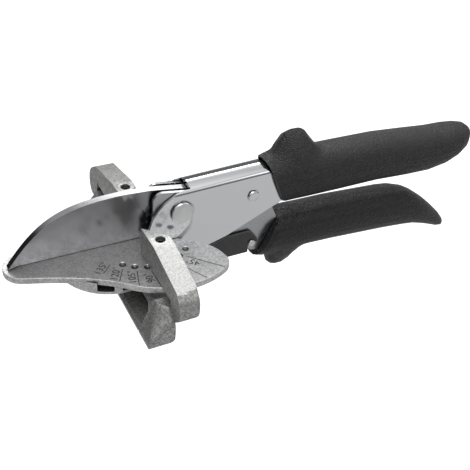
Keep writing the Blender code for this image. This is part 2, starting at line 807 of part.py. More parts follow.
def lower_outline():
    sweep = pivot_arc(LOWER_SWEEP_DEG, LOWER_SWEEP_STEPS)
    corner_at = (LOWER_FRONT_X + LOWER_FRONT_RADIUS, LOWER_FRONT_TOP_Z - LOWER_FRONT_RADIUS)
    corner = arc(corner_at, LOWER_FRONT_RADIUS, math.pi / 2, math.pi, LOWER_FRONT_STEPS)
    return [
        (LOWER_FRONT_X, LOWER_FRONT_LOW_Z),
        *sweep,
        (LOWER_CHIN_X, LOWER_CHIN_Z),
        (LOWER_KNEE_X, LOWER_KNEE_Z),
        (LOWER_HEEL_X, LOWER_HEEL_Z),
        (LOWER_NECK_LOW_X, LOWER_NECK_LOW_Z),
        (LOWER_TAIL_END_X, LOWER_TAIL_BOTTOM_Z),
        (LOWER_TAIL_END_X, LOWER_TAIL_TOP_Z),
        (LOWER_NECK_X, LOWER_NECK_Z),
        (LOWER_REAR_X, LOWER_REAR_Z),
        (LOWER_SADDLE_X, LOWER_SADDLE_Z),
        (LOWER_SHOULDER_X, LOWER_SHOULDER_Z),
        (ROOF_FRONT_X, BLADE_MOUTH_Z),
        *corner,
    ]


def lower_channel(parts, tools):
    channel = flat_solid("lower_channel", lower_outline(), -LOWER_HALF, LOWER_HALF, "Y", parts)
    run, rise = LOWER_HEEL_X - LOWER_KNEE_X, LOWER_HEEL_Z - LOWER_KNEE_Z
    lift = LOWER_SHEET * math.hypot(run, rise) / run
    inner_half = LOWER_HALF - LOWER_SHEET
    inside = [
        (-OVERRUN, ROOF_GRIP_Z + OVERRUN),
        (-OVERRUN, -OVERRUN),
        (LOWER_CHIN_X, -OVERRUN),
        (LOWER_KNEE_X, LOWER_KNEE_Z + lift),
        (LOWER_HEEL_X, LOWER_HEEL_Z + lift),
        (LOWER_NECK_LOW_X, LOWER_NECK_LOW_Z + LOWER_SHEET),
        (LOWER_TAIL_END_X + OVERRUN, LOWER_TAIL_BOTTOM_Z + LOWER_SHEET),
        (LOWER_TAIL_END_X + OVERRUN, ROOF_GRIP_Z + OVERRUN),
    ]
    hollow = flat_solid("lower_hollow", inside, -inner_half, inner_half, "Y", tools)
    cut(channel, hollow)
    holes = [(STUD_RADIUS + GAP + BUSH_WALL, PIVOT_X, PIVOT_Z), (CATCH_PIN_RADIUS, CATCH_PIN_X, CATCH_PIN_Z)]
    holes += [(BLADE_RIVET_RADIUS, x, z) for x, z in blade_rivet_places()]
    cross_holes(channel, holes, LOWER_HALF, tools)
    return channel


def blade_rivet_places():
    return [
        (
            PIVOT_X + BLADE_RIVET_REACH * math.cos(math.radians(angle)),
            PIVOT_Z + BLADE_RIVET_REACH * math.sin(math.radians(angle)),
        )
        for angle in BLADE_RIVET_ANGLES_DEG
    ]


def spine_point(t):
    # the blade's back from its tip up to its highest point
    angle = math.radians(BLADE_TIP_ANGLE_DEG)
    ends = (
        (BLADE_TIP_X, BLADE_TIP_Z),
        (BLADE_TIP_X + BLADE_TIP_PULL * math.cos(angle), BLADE_TIP_Z + BLADE_TIP_PULL * math.sin(angle)),
        (BLADE_TOP_X - BLADE_TOP_PULL, BLADE_TOP_Z),
        (BLADE_TOP_X, BLADE_TOP_Z),
    )
    weights = ((1 - t) ** 3, 3 * t * (1 - t) ** 2, 3 * t**2 * (1 - t), t**3)
    return tuple(sum(w * end[k] for w, end in zip(weights, ends)) for k in (0, 1))


def blade(parts, tools):
    # each cross-section runs from the thick back down to the edge, fanned out towards the heel
    rings = []
    for i in range(BLADE_STATIONS + 1):
        t = i / BLADE_STATIONS
        x, z = spine_point(t)
        edge_x = BLADE_TIP_X + (BLADE_HEEL_X - BLADE_TIP_X) * t
        rings.append(
            [
                (x, -BLADE_HALF, z),
                (edge_x, -BLADE_EDGE_HALF, GAP),
                (edge_x, BLADE_EDGE_HALF, GAP),
                (x, BLADE_HALF, z),
            ]
        )
    made = loft("blade", rings, parts)
    outline = [
        (BLADE_TOP_X, BLADE_TOP_Z),
        (BLADE_HEEL_X, GAP),
        *pivot_arc(TANG_SWEEP_DEG, TANG_SWEEP_STEPS),
        (BLADE_TANG_REAR_X, PIVOT_Z),
        (LOWER_SHOULDER_X, LOWER_SHOULDER_Z),
        (ROOF_FRONT_X, BLADE_MOUTH_Z),
        (LOWER_FRONT_X, (BLADE_TOP_Z + LOWER_FRONT_TOP_Z) / 2),
    ]
    tang = flat_solid("blade_tang", outline, -BLADE_HALF, BLADE_HALF, "Y", tools)
    join(made, tang)
    holes = [(STUD_RADIUS + GAP + BUSH_WALL, PIVOT_X, PIVOT_Z)]
    holes += [(BLADE_RIVET_RADIUS, x, z) for x, z in blade_rivet_places()]
    cross_holes(made, holes, LOWER_HALF, tools)
    return made


def pivot_stud(parts):
    face = UPPER_HALF + GAP
    head = face + STUD_HEAD_THICK
    top = head + STUD_FACE_THICK
    profile = [
        (0.0, top),
        (STUD_FACE_RADIUS - STUD_FACE_THICK, top),
        (STUD_FACE_RADIUS, head),
        (STUD_HEAD_RADIUS - STUD_FACE_THICK / 2, head),
        (STUD_HEAD_RADIUS, head - STUD_FACE_THICK / 2),
        (STUD_HEAD_RADIUS, face),
        (STUD_RADIUS, face),
        (STUD_RADIUS, -face - CAP_THICK),
        (0.0, -face - CAP_THICK),
    ]
    return turned("pivot_stud", profile, "Y", (PIVOT_X, PIVOT_Z), parts)


def pivot_cap(parts):
    face = UPPER_HALF + GAP
    profile = [
        (STUD_RADIUS + GAP, -face),
        (CAP_RADIUS, -face),
        (CAP_RADIUS, -face - CAP_THICK / 2),
        (CAP_RADIUS - CAP_THICK / 2, -face - CAP_THICK),
        (STUD_RADIUS + GAP, -face - CAP_THICK),
        (STUD_RADIUS + GAP, -face),
    ]
    return turned("pivot_cap", profile, "Y", (PIVOT_X, PIVOT_Z), parts, ROUND_SIDES)


def sleeve(name, inner, outer, low, high, parts):
    profile = [(inner, high), (outer, high), (outer, low), (inner, low), (inner, high)]
    return turned(name, profile, "Y", (PIVOT_X, PIVOT_Z), parts, ROUND_SIDES)


def riveted(name, at, radius, head_radius, head_thick, half, parts):
    # a shank with a domed head at each end
    edge = half + GAP
    top = edge + head_thick
    rounding = head_thick / 2
    profile = [
        (0.0, top),
        (head_radius - rounding * 2, top),
        (head_radius - rounding / 2, top - rounding / 2),
        (head_radius, edge),
        (radius, edge),
    ]
    profile += [(r, -level) for r, level in reversed(profile)]
    return turned(name, profile, "Y", at, parts, SMALL_SIDES)


def anvil_rivets(parts):
    names = ("anvil_rivet_front", "anvil_rivet_rear")
    return [
        riveted(
            name,
            (x, LUG_RIVET_Z),
            LUG_RIVET_RADIUS,
            LUG_RIVET_HEAD_RADIUS,
            LUG_RIVET_HEAD_THICK,
            UPPER_HALF,
            parts,
        )
        for name, x in zip(names, LUG_RIVET_XS)
    ]


def blade_rivets(parts):
    names = ("blade_rivet_upper", "blade_rivet_lower")
    return [
        rod(name, BLADE_RIVET_RADIUS, -LOWER_HALF, LOWER_HALF, "Y", place, parts, SMALL_SIDES)
        for name, place in zip(names, blade_rivet_places())
    ]


def wire(name, points, radius, resolution, parts):
    curve = bpy.data.curves.new(name, "CURVE")
    curve.dimensions = "3D"
    curve.bevel_depth = radius
    curve.bevel_resolution = resolution
    curve.use_fill_caps = True
    spline = curve.splines.new("POLY")
    spline.points.add(len(points) - 1)
    for point, place in zip(spline.points, points):
        point.co = (*place, 1)
    holder = bpy.data.objects.new(name, curve)
    return as_mesh(link(holder, parts), parts)


def return_spring(parts):
    # a coil round its rivet, one leg under the upper channel's roof, one on the lower channel's floor
    reach = COIL_RADIUS
    half = COIL_PITCH * COIL_TURNS / 2
    points = []
    count = COIL_TURNS * COIL_STEPS + COIL_STEPS // 4
    for i in range(count + 1):
        turn = math.pi / 2 - math.tau * i / COIL_STEPS
        points.append(
            (
                SPRING_RIVET_X + reach * math.cos(turn),
                half - COIL_PITCH * i / COIL_STEPS,
                SPRING_RIVET_Z + reach * math.sin(turn),
            )
        )
    roof = (
        ROOF_LEG_X,
        half + WIRE_RADIUS / 2,
        roof_z(ROOF_LEG_X) - UPPER_SHEET - ROOF_CROWN - GAP - WIRE_RADIUS,
    )
    run, rise = LOWER_HEEL_X - LOWER_KNEE_X, LOWER_HEEL_Z - LOWER_KNEE_Z
    slope = math.hypot(run, rise) / run
    floor_z = LOWER_KNEE_Z + rise / run * (FLOOR_LEG_X - LOWER_KNEE_X)
    floor_z += (LOWER_SHEET + GAP + WIRE_RADIUS) * slope
    inner = LOWER_HALF - LOWER_SHEET - GAP - WIRE_RADIUS
    last = points[-1]
    low = (last[0] + WIRE_RADIUS, -inner, LOWER_SADDLE_Z)
    floor = (FLOOR_LEG_X, 0.0, floor_z)
    near_floor = (FLOOR_LEG_X + COIL_RADIUS, -inner / 2, floor_z + COIL_RADIUS)
    return wire("return_spring", [roof] + points + [low, near_floor, floor], WIRE_RADIUS, 1, parts)


def side_profile(side, points):
    return [(side * u, z) for u, z in points]


def soften(thing, wanted, radius, segments=2):
    # rounds the edges that a test of their two world ends picks out
    body = bmesh.new()
    body.from_mesh(thing.data)
    bmesh.ops.transform(body, matrix=thing.matrix_world, verts=body.verts)
    bmesh.ops.dissolve_limit(
        body, angle_limit=math.radians(FLAT_DEG), verts=body.verts, edges=body.edges, delimit={"NORMAL"}
    )
    edges = []
    for edge in body.edges:
        if len(edge.link_faces) == 2 and edge.calc_face_angle() > math.radians(CORNER_DEG):
            if wanted(*(v.co for v in edge.verts)):
                edges.append(edge)
    bmesh.ops.bevel(
        body,
        geom=edges,
        offset=radius,
        segments=segments,
        profile=0.5,
        affect="EDGES",
        clamp_overlap=True,
        material=-1,
    )
    bmesh.ops.transform(body, matrix=thing.matrix_world.inverted(), verts=body.verts)
    body.to_mesh(thing.data)
    body.free()


def fence_arm(side, tools):
    throat_end = THROAT_ENDS[side < 0]
    bulge = ARM_BULGES[side < 0]
    low = ARM_END_LOWS[side < 0]
    outline = [(0.0, GAP), (throat_end, GAP), (throat_end, low), (ARM_END, low)]
    for out, up in (REAR_END_SHARES, FRONT_END_SHARES)[side < 0]:
        outline.append((ARM_END + bulge * out, low + (ARM_END_HIGH - low) * up))
    outline += [(ARM_END, ARM_END_HIGH), (ARM_BEND, ARM_HIGH), (0.0, ARM_HIGH)]
    arm = flat_solid(
        f"fence_arm_{side}",
        side_profile(side, outline),
        FENCE_FACE_X,
        FENCE_FACE_X + ARM_WIDE,
        "X",
        tools,
    )
    middle = FENCE_FACE_X + ARM_WIDE / 2

    def at_rear_corner(a, b):
        return min(a.x, b.x) > middle and min(side * a.y, side * b.y) > ARM_END - ARM_SOFT

    def along_top(a, b):
        return min(a.z, b.z) > ARM_END_HIGH - ARM_SOFT and abs(a.x - b.x) < WELD

    if side < 0:
        soften(arm, at_rear_corner, ARM_CORNER)
    soften(arm, along_top, ARM_SOFT)
    tip = (FENCE_FACE_X, side * ARM_TIP)
    reach = ARM_WIDE + OVERRUN
    mitre = [
        (tip[0] - OVERRUN, tip[1] - side * OVERRUN),
        (tip[0] + reach, tip[1] + side * reach),
        (tip[0] + reach, -side * OVERRUN),
        (tip[0] - OVERRUN, -side * OVERRUN),
    ]
    cut(arm, flat_solid(f"fence_mitre_{side}", mitre, -OVERRUN, ARM_HIGH + OVERRUN, "Z", tools))
    return arm


def hull(name, points, where):
    # the smallest solid round a set of points, its flat facets merged
    body = bmesh.new()
    for point in points:
        body.verts.new(point)
    made = bmesh.ops.convex_hull(body, input=body.verts)
    spare = [v for v in made["geom_interior"] if isinstance(v, bmesh.types.BMVert)]
    bmesh.ops.delete(body, geom=spare, context="VERTS")
    bmesh.ops.recalc_face_normals(body, faces=body.faces)
    mesh = bpy.data.meshes.new(name)
    body.to_mesh(mesh)
    body.free()
    return link(bpy.data.objects.new(name, mesh), where)


def front_x(z):
    # the bridge's front face leans back from its bottom edge to its top edge
    low = BRIDGE_BOTTOM + BRIDGE_CORNER
    share = max(0.0, (z - low) / (BRIDGE_TOP - LAP - low))
    return BRIDGE_NOSE_X + (BRIDGE_NOSE_TOP_X - BRIDGE_NOSE_X) * share


def fence_bridge(tools):
    # the wedge under the table, between the two blocks that carry the arms
    back = FENCE_FACE_X + LAP
    top = BRIDGE_TOP - LAP
    end = SHELF_START + LAP
    corners = [
        (BRIDGE_NOSE_X, end - BRIDGE_CORNER, BRIDGE_BOTTOM),
        (BRIDGE_NOSE_X, end, BRIDGE_BOTTOM + BRIDGE_CORNER),
        (BRIDGE_NOSE_TOP_X, BRIDGE_BROW, top),
        (back, end, BRIDGE_BOTTOM),
        (back, end, top),
    ]
    return hull("fence_bridge", [(x, side * u, z) for side in (1, -1) for x, u, z in corners], tools)


def fence_block(side, tools):
    # the outer end: its front edge leans in as it rises, its other edge stays out and turns in under the rim
    high = THROAT_LOW - BLOCK_SINK
    low = BRIDGE_BOTTOM + BRIDGE_CORNER
    back = FENCE_FACE_X + LAP
    slot_end = THROAT_ENDS[side < 0] + GAP
    points = []
    for rise, drawn, corner in BLOCK_SHARES:
        z = BRIDGE_BOTTOM + (high - BRIDGE_BOTTOM) * rise
        lean = max(0.0, (z - low) / (high - low))
        nose_x = BRIDGE_NOSE_X + (SHELF_NOSE_X - BRIDGE_NOSE_X) * lean
        nose_y = BRIDGE_TOE + (SHELF_START + LAP - BRIDGE_TOE) * lean
        face_y = ARM_END - LAP + (slot_end - ARM_END + LAP) * drawn
        inset = BRIDGE_CORNER * corner
        inner_x = min(front_x(z), SHELF_NOSE_X) + EASE
        row = [(inner_x, SHELF_START), (back, SHELF_START)]
        row += [(back - BLOCK_CORNER * corner, face_y - inset), (nose_x, nose_y - inset)]
        points += [(x, side * u, z) for x, u in row]
    return hull(f"fence_block_{side}", points, tools)


def fence_windows(side, tools):
    # the opening in the bridge's front, less deep behind the bar along its top
    room = [
        (WINDOW_START, WINDOW_TOP),
        (WINDOW_START, WINDOW_BOTTOM),
        (WINDOW_END - WINDOW_NOTCH * 2, WINDOW_BOTTOM),
        (WINDOW_END - WINDOW_NOTCH * 2, WINDOW_BOTTOM + WINDOW_NOTCH),
        (WINDOW_END - WINDOW_NOTCH, WINDOW_BOTTOM + WINDOW_NOTCH * WINDOW_NOTCH_SHARE),
        (WINDOW_END, WINDOW_BOTTOM + WINDOW_NOTCH),
        (WINDOW_BROW, WINDOW_TOP),
    ]
    above = [(WINDOW_START - OVERRUN, WINDOW_BAR_LOW), (WINDOW_END + OVERRUN, WINDOW_BAR_LOW)]
    above += [(WINDOW_END + OVERRUN, WINDOW_TOP + OVERRUN), (WINDOW_START - OVERRUN, WINDOW_TOP + OVERRUN)]
    low = BRIDGE_NOSE_X - OVERRUN
    window = flat_solid(f"fence_window_{side}", side_profile(side, room), low, WINDOW_FLOOR_X, "X", tools)
    bar = flat_solid(
        f"fence_window_bar_{side}",
        side_profile(side, above),
        WINDOW_BAR_X,
        WINDOW_FLOOR_X + OVERRUN,
        "X",
        tools,
    )
    cut(window, bar)
    return window


def fence_carriage(parts, tools):
    boss = rod(
        "fence_carriage",
        FENCE_BOSS_RADIUS,
        BRIDGE_BOTTOM + LAP,
        BRIDGE_TOP,
        "Z",
        (0.0, 0.0),
        parts,
    )
    web = box(
        "fence_web",
        (FENCE_FACE_X - LAP, -HUB_WEB_REACH, HUB_WEB_BOTTOM),
        (FENCE_FACE_X + ARM_WIDE - LAP, HUB_WEB_REACH, BRIDGE_TOP - LAP * 2),
        tools,
    )
    rib = box(
        "fence_rib",
        (FENCE_FACE_X - LAP / 2, -RIB_REACH, RIB_BOTTOM),
        (RIB_BACK_X, RIB_REACH, BRIDGE_TOP - LAP * 3),
        tools,
    )
    for tool in (fence_bridge(tools), web, rib):
        join(boss, tool)
    for side in (1, -1):
        join(boss, fence_block(side, tools))
        ends = sorted((side * (SHELF_START + LAP), side * (ARM_END - LAP * 2)))
        shelf = box(
            f"fence_shelf_{side}",
            (FENCE_FACE_X + GAP, ends[0], ARM_END_LOWS[side < 0] + SHELF_RISE),
            (FENCE_FACE_X + ARM_WIDE - LAP, ends[1], THROAT_LOW),
            tools,
        )
        join(boss, shelf)
        join(boss, fence_arm(side, tools))
    screw_hole = rod(
        "fence_screw_hole",
        FENCE_SCREW_RADIUS + GAP,
        BRIDGE_BOTTOM - OVERRUN,
        BRIDGE_TOP + OVERRUN,
        "Z",
        (0.0, 0.0),
        tools,
        SMALL_SIDES,
    )
    counterbore = rod(
        "fence_counterbore",
        FENCE_WASHER_RADIUS + GAP,
        BRIDGE_BOTTOM - OVERRUN,
        BRIDGE_BOTTOM + COUNTERBORE_DEPTH,
        "Z",
        (0.0, 0.0),
        tools,
    )
    for tool in (screw_hole, counterbore, fence_windows(1, tools), fence_windows(-1, tools)):
        cut(boss, tool)
    for side in (1, -1):
        hole = rod(
            f"fence_detent_hole_{side}",
            DETENT_HOLE_RADIUS,
            -OVERRUN / 2,
            ARM_HIGH + OVERRUN,
            "Z",
            (0.0, side * DETENT_RADIUS),
            tools,
            SMALL_SIDES,
        )
        cut(boss, hole)
    return boss


def screw_levels():
    # from the top down: the washer's face, the head's upper face and its flat end
    washer_top = BRIDGE_BOTTOM + COUNTERBORE_DEPTH - GAP
    head_top = washer_top - FENCE_WASHER_THICK - GAP
    return washer_top, head_top, head_top - FENCE_SCREW_HEAD_THICK


def fence_screw(parts, tools):
    washer_top, head_top, head_low = screw_levels()
    at = (0.0, 0.0)
    radius = FENCE_SCREW_RADIUS
    screw = rod("fence_screw", radius, head_top - LAP, -FENCE_SCREW_DEPTH, "Z", at, parts, SMALL_SIDES)
    head = rod("fence_screw_head", FENCE_SCREW_HEAD_RADIUS, head_low, head_top, "Z", at, tools, HEX_SIDES)
    join(screw, head)
    inner = radius + GAP
    low = washer_top - FENCE_WASHER_THICK
    ring = [
        (inner, washer_top),
        (FENCE_WASHER_RADIUS, washer_top),
        (FENCE_WASHER_RADIUS, low),
        (inner, low),
        (inner, washer_top),
    ]
    washer = turned("fence_washer", ring, "Z", at, parts, SMALL_SIDES)
    return [screw, washer]


def detent(side, word, parts, tools):
    at = (0.0, side * DETENT_RADIUS)
    body = bmesh.new()
    around, along = BALL_SIDES
    bmesh.ops.create_uvsphere(body, u_segments=around, v_segments=along, radius=DETENT_BALL_RADIUS)
    mesh = bpy.data.meshes.new("detent_ball_" + word)
    body.to_mesh(mesh)
    body.free()
    ball = link(bpy.data.objects.new("detent_ball_" + word, mesh), parts)
    ball.location = (*at, GAP + DETENT_BALL_RADIUS)
    low = GAP * 2 + DETENT_BALL_RADIUS * 2 + DETENT_WIRE_RADIUS
    reach = DETENT_BALL_RADIUS - DETENT_WIRE_RADIUS
    count = DETENT_TURNS * DETENT_COIL_STEPS
    rise = DETENT_SPRING_LONG - DETENT_WIRE_RADIUS * 2
    points = [
        (
            at[0] + reach * math.cos(math.tau * i / DETENT_COIL_STEPS),
            at[1] + reach * math.sin(math.tau * i / DETENT_COIL_STEPS),
            low + rise * i / count,
        )
        for i in range(count + 1)
    ]
    spring = wire("detent_spring_" + word, points, DETENT_WIRE_RADIUS, 1, parts)
    foot = low + rise + DETENT_WIRE_RADIUS + GAP
    screw = rod(
        "detent_screw_" + word,
        DETENT_HOLE_RADIUS - GAP,
        foot,
        DETENT_SCREW_TOP,
        "Z",
        at,
        parts,
        SMALL_SIDES,
    )
    socket = rod(
        "detent_socket_" + word,
        DETENT_SOCKET_RADIUS,
        DETENT_SCREW_TOP - DETENT_SOCKET_DEPTH,
        DETENT_SCREW_TOP + OVERRUN,
        "Z",
        at,
        tools,
        HEX_SIDES,
    )
    cut(screw, socket)
    return [ball, spring, screw]


def catch_lever(parts, tools):
    eye_across = CATCH_EYE_RADIUS * CATCH_EYE_SHARES[0]
    eye_up = CATCH_EYE_RADIUS * CATCH_EYE_SHARES[1]
    cheek = [
        (CATCH_LEFT_X, CATCH_LEFT_TOP_Z),
        (CATCH_LEFT_X, CATCH_LEFT_LOW_Z),
        (CATCH_CHIN_X, CATCH_BOTTOM_Z),
        (CATCH_RIGHT_X, CATCH_BOTTOM_Z),
        (CATCH_RIGHT_X, CATCH_PIN_Z),
        (CATCH_PIN_X + CATCH_EYE_RADIUS, CATCH_PIN_Z),
        (CATCH_PIN_X + eye_across, CATCH_PIN_Z + eye_up),
        (CATCH_PIN_X, CATCH_TOP_Z - CATCH_PIN_RADIUS),
        (CATCH_PIN_X - CATCH_PIN_RADIUS, CATCH_TOP_Z),
        (DIAGONAL_FRONT_X, CATCH_TOP_Z),
    ]
    lever = flat_solid("catch_lever", cheek, -CATCH_HALF, CATCH_HALF, "Y", parts)
    room = LOWER_HALF + GAP
    run, rise = LOWER_HEEL_X - LOWER_KNEE_X, LOWER_HEEL_Z - LOWER_KNEE_Z
    drop = SLACK * math.hypot(run, rise) / run

    def under(x):
        return LOWER_KNEE_Z + rise / run * (x - LOWER_KNEE_X) - drop

    start = CATCH_LEFT_X + CATCH_TIP_LONG
    straddle = [
        (start, under(start)),
        (CATCH_WEB_REAR_X, under(CATCH_WEB_REAR_X)),
        (CATCH_WEB_REAR_X, CATCH_BOTTOM_Z - OVERRUN),
        (LOWER_NECK_X, CATCH_BOTTOM_Z - OVERRUN),
        (LOWER_NECK_X, OVERRUN),
        (start, OVERRUN),
    ]
    cut(lever, flat_solid("catch_straddle", straddle, -room, room, "Y", tools))
    cross_holes(lever, [(CATCH_PIN_RADIUS, CATCH_PIN_X, CATCH_PIN_Z)], CATCH_HALF, tools)
    return lever


def catch_pin(parts):
    return riveted(
        "catch_pin",
        (CATCH_PIN_X, CATCH_PIN_Z),
        CATCH_PIN_RADIUS,
        CATCH_PIN_RADIUS + GAP * 2,
        CATCH_PIN_HEAD_THICK,
        CATCH_HALF,
        parts,
    )


def between(rows, share):
    # the row of shares at a place along a grip, eased between the rows around it
    for low, high in zip(rows, rows[1:]):
        if share <= high[0]:
            t = (share - low[0]) / (high[0] - low[0])
            return [a + (b - a) * t for a, b in zip(low, high)]
    return list(rows[-1])


def grip(name, sizes, parts):
    front, end, mid, half_high, drop, lean, guard_x, guard_long, guard_tall, way, rows = sizes
    long = end - front
    places = {row[0] for row in rows}
    places |= {i / FINE_RINGS for i in range(FINE_RINGS) if i / FINE_RINGS < FINE_END_SHARE}
    places |= {i / COARSE_RINGS for i in range(COARSE_RINGS) if i / COARSE_RINGS > FINE_END_SHARE}
    kept = []
    for share in sorted(places, reverse=True):
        if not kept or kept[-1] - share > NEAR_SHARE:
            kept.append(share)
    rings = []
    for share in reversed(kept):
        _, high, wide, fall = between(rows, share)
        x = front + long * share
        middle = mid - drop * fall
        tilt = lean * max(0.0, 1 - share / LEAN_END_SHARE)
        bump = guard_tall * math.exp(-(((x - guard_x) / guard_long) ** 2) ** GUARD_FLAT)
        ring = []
        for i in range(RING_POINTS):
            turn = math.tau * i / RING_POINTS
            c, s = math.cos(turn), math.sin(turn)
            y = GRIP_HALF_WIDE * wide * math.copysign(abs(c) ** GRIP_SQUARE_SHARE, c)
            z = half_high * high * math.copysign(abs(s) ** GRIP_SQUARE_SHARE, s)
            z += way * bump * max(0.0, way * s) ** GUARD_NARROW
            ring.append((x - tilt * z, y, middle + z))
        rings.append(ring)
    made = loft(name, rings, parts)
    smooth(made, GRIP_SMOOTH_DEG)
    return made


def upper_grip(parts, tools):
    sizes = (
        UPPER_GRIP_FRONT_X,
        UPPER_GRIP_END_X,
        UPPER_GRIP_MID_Z,
        UPPER_GRIP_HALF_HIGH,
        -UPPER_GRIP_DROP,
        UPPER_LEAN_SHARE,
        GUARD_X,
        GUARD_LONG,
        GUARD_TALL,
        1,
        UPPER_GRIP_SHARES,
    )
    made = grip("upper_grip", sizes, parts)
    start = ROOF_FRONT_X
    end = UPPER_TAIL_END_X + GAP
    pocket = [
        (start, roof_z(start) + GAP),
        (GRIP_FRONT_X, ROOF_GRIP_Z + GAP),
        (end, UPPER_TAIL_TOP_Z + GAP),
        (end, UPPER_TAIL_BOTTOM_Z - GAP),
        (DIAGONAL_REAR_X, DIAGONAL_REAR_Z - GAP),
        (start, LUG_BOTTOM_Z),
    ]
    half = UPPER_HALF + GAP
    hole = flat_solid("upper_grip_pocket", pocket, -half, half, "Y", tools)

    def along_roof(a, b):
        return min(a.z, b.z) > UPPER_TAIL_TOP_Z - WELD and abs(a.x - b.x) > UPPER_HALF

    soften(hole, along_roof, UPPER_BEND_RADIUS, 3)
    cut(made, hole)
    return made


def lower_grip(parts, tools):
    sizes = (
        LOWER_GRIP_FRONT_X,
        LOWER_GRIP_END_X,
        LOWER_GRIP_MID_Z,
        LOWER_GRIP_HALF_HIGH,
        LOWER_GRIP_DROP,
        LOWER_LEAN_SHARE,
        FINGER_GUARD_X,
        FINGER_GUARD_LONG,
        FINGER_GUARD_TALL,
        -1,
        LOWER_GRIP_SHARES,
    )
    made = grip("lower_grip", sizes, parts)
    end = LOWER_TAIL_END_X + GAP
    pocket = [
        (LOWER_SADDLE_X, LOWER_SADDLE_Z + GAP),
        (LOWER_REAR_X + GAP, LOWER_REAR_Z + GAP),
        (LOWER_NECK_X + GAP, LOWER_NECK_Z + GAP),
        (end, LOWER_TAIL_TOP_Z + GAP),
        (end, LOWER_TAIL_BOTTOM_Z - GAP),
        (LOWER_NECK_LOW_X, LOWER_NECK_LOW_Z - GAP),
        (LOWER_HEEL_X, LOWER_HEEL_Z - SLACK),
        (LOWER_SADDLE_X, LOWER_HEEL_Z),
    ]
    half = LOWER_HALF + GAP
    cut(made, flat_solid("lower_grip_pocket", pocket, -half, half, "Y", tools))
    return made


def axis_empty(name, place, where):
    made = bpy.data.objects.new(name, None)
    made.location = place
    made.empty_display_size = STUD_HEAD_RADIUS
    return link(made, where)


def hang(pieces, empty):
    bpy.context.view_layer.update()
    for piece in pieces:
        piece.parent = empty
        piece.matrix_parent_inverse = empty.matrix_world.inverted()


def give(pieces, material):
    for piece in pieces:
        piece.data.materials.clear()
        piece.data.materials.append(material)


def build():
    clear_scene()
    parts = collection("mitre_shears")
    tools = collection("cutters")
    finishes = {name: finish_material(name) for name in COLOURS}
    table = anvil_table(parts, tools)
    upper = upper_channel(parts, tools)
    grip_up = upper_grip(parts, tools)
    stud = pivot_stud(parts)
    cap = pivot_cap(parts)
    lug_rivets = anvil_rivets(parts)
    spring_rivet = riveted(
        "spring_rivet",
        (SPRING_RIVET_X, SPRING_RIVET_Z),
        SPRING_RIVET_RADIUS,
        SPRING_RIVET_HEAD_RADIUS,
        SPRING_RIVET_HEAD_THICK,
        UPPER_HALF,
        parts,
    )
    spring = return_spring(parts)
    screw, washer = fence_screw(parts, tools)

    lower = lower_channel(parts, tools)
    knife = blade(parts, tools)
    grip_low = lower_grip(parts, tools)
    rivets = blade_rivets(parts)
    bush = sleeve("pivot_bush", STUD_RADIUS + GAP, STUD_RADIUS + BUSH_WALL, -LOWER_HALF, LOWER_HALF, parts)
    bore = STUD_RADIUS + BUSH_WALL + GAP
    low = BLADE_HALF + GAP
    high = LOWER_HALF - LOWER_SHEET - GAP
    near = sleeve("pivot_washer_near", bore, WASHER_RADIUS, -high, -low, parts)
    far = sleeve("pivot_washer_far", bore, WASHER_RADIUS, low, high, parts)
    pin = catch_pin(parts)
    lever = catch_lever(parts, tools)

    carriage = fence_carriage(parts, tools)
    detents = detent(-1, "front", parts, tools) + detent(1, "rear", parts, tools)

    lever_axis = axis_empty("blade_lever_axis", (PIVOT_X, 0.0, PIVOT_Z), parts)
    fence_axis = axis_empty("fence_axis", (0.0, 0.0, 0.0), parts)
    catch_axis = axis_empty("catch_axis", (CATCH_PIN_X, 0.0, CATCH_PIN_Z), parts)
    hang([lower, knife, grip_low, bush, near, far, pin, *rivets], lever_axis)
    hang([lever], catch_axis)
    hang([catch_axis], lever_axis)
    hang([carriage, *detents], fence_axis)

    frame = axis_empty("frame", (0.0, 0.0, 0.0), parts)
    hang([thing for thing in (*parts.objects, *tools.objects) if not thing.parent and thing != frame], frame)
    frame.location.z = -screw_levels()[-1]

    give([upper, stud, cap, spring_rivet], finishes["chrome"])
    give([lower], finishes["satin"])
    give([knife], finishes["blade"])
    give([table, carriage], finishes["cast"])
    give([pin, bush, near, far, screw, washer, *rivets, *lug_rivets], finishes["bright"])
    give([spring, *detents], finishes["spring"])
    give([grip_up, grip_low], finishes["grip"])
    give([lever], finishes["catch"])
    round_pieces = [stud, cap, spring_rivet, spring, washer, pin, bush, near, far]
    for piece in (*round_pieces, screw, *rivets, *lug_rivets, *detents):
        smooth(piece)


build()
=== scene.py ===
import math

import bmesh
import bpy
from mathutils import Matrix, Vector


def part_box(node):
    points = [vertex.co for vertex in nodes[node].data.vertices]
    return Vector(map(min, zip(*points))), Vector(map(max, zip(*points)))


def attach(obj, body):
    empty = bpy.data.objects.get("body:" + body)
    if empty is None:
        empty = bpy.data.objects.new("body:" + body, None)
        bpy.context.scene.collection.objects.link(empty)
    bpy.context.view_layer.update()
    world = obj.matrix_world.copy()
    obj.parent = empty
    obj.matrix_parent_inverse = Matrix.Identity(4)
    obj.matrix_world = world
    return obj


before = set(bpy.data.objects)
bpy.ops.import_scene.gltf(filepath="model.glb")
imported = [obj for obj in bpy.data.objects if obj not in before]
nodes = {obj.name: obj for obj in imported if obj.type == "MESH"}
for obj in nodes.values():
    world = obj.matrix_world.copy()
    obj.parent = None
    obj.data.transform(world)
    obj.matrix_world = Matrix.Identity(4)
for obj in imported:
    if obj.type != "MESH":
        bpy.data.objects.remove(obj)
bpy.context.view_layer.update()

# Mitre shears: finishes, table marks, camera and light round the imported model

mm = 0.001
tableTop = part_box("anvil_table")[1][2]  # the level of the table's face
print("frame loaded:", len(nodes), "nodes")


# node tree helpers

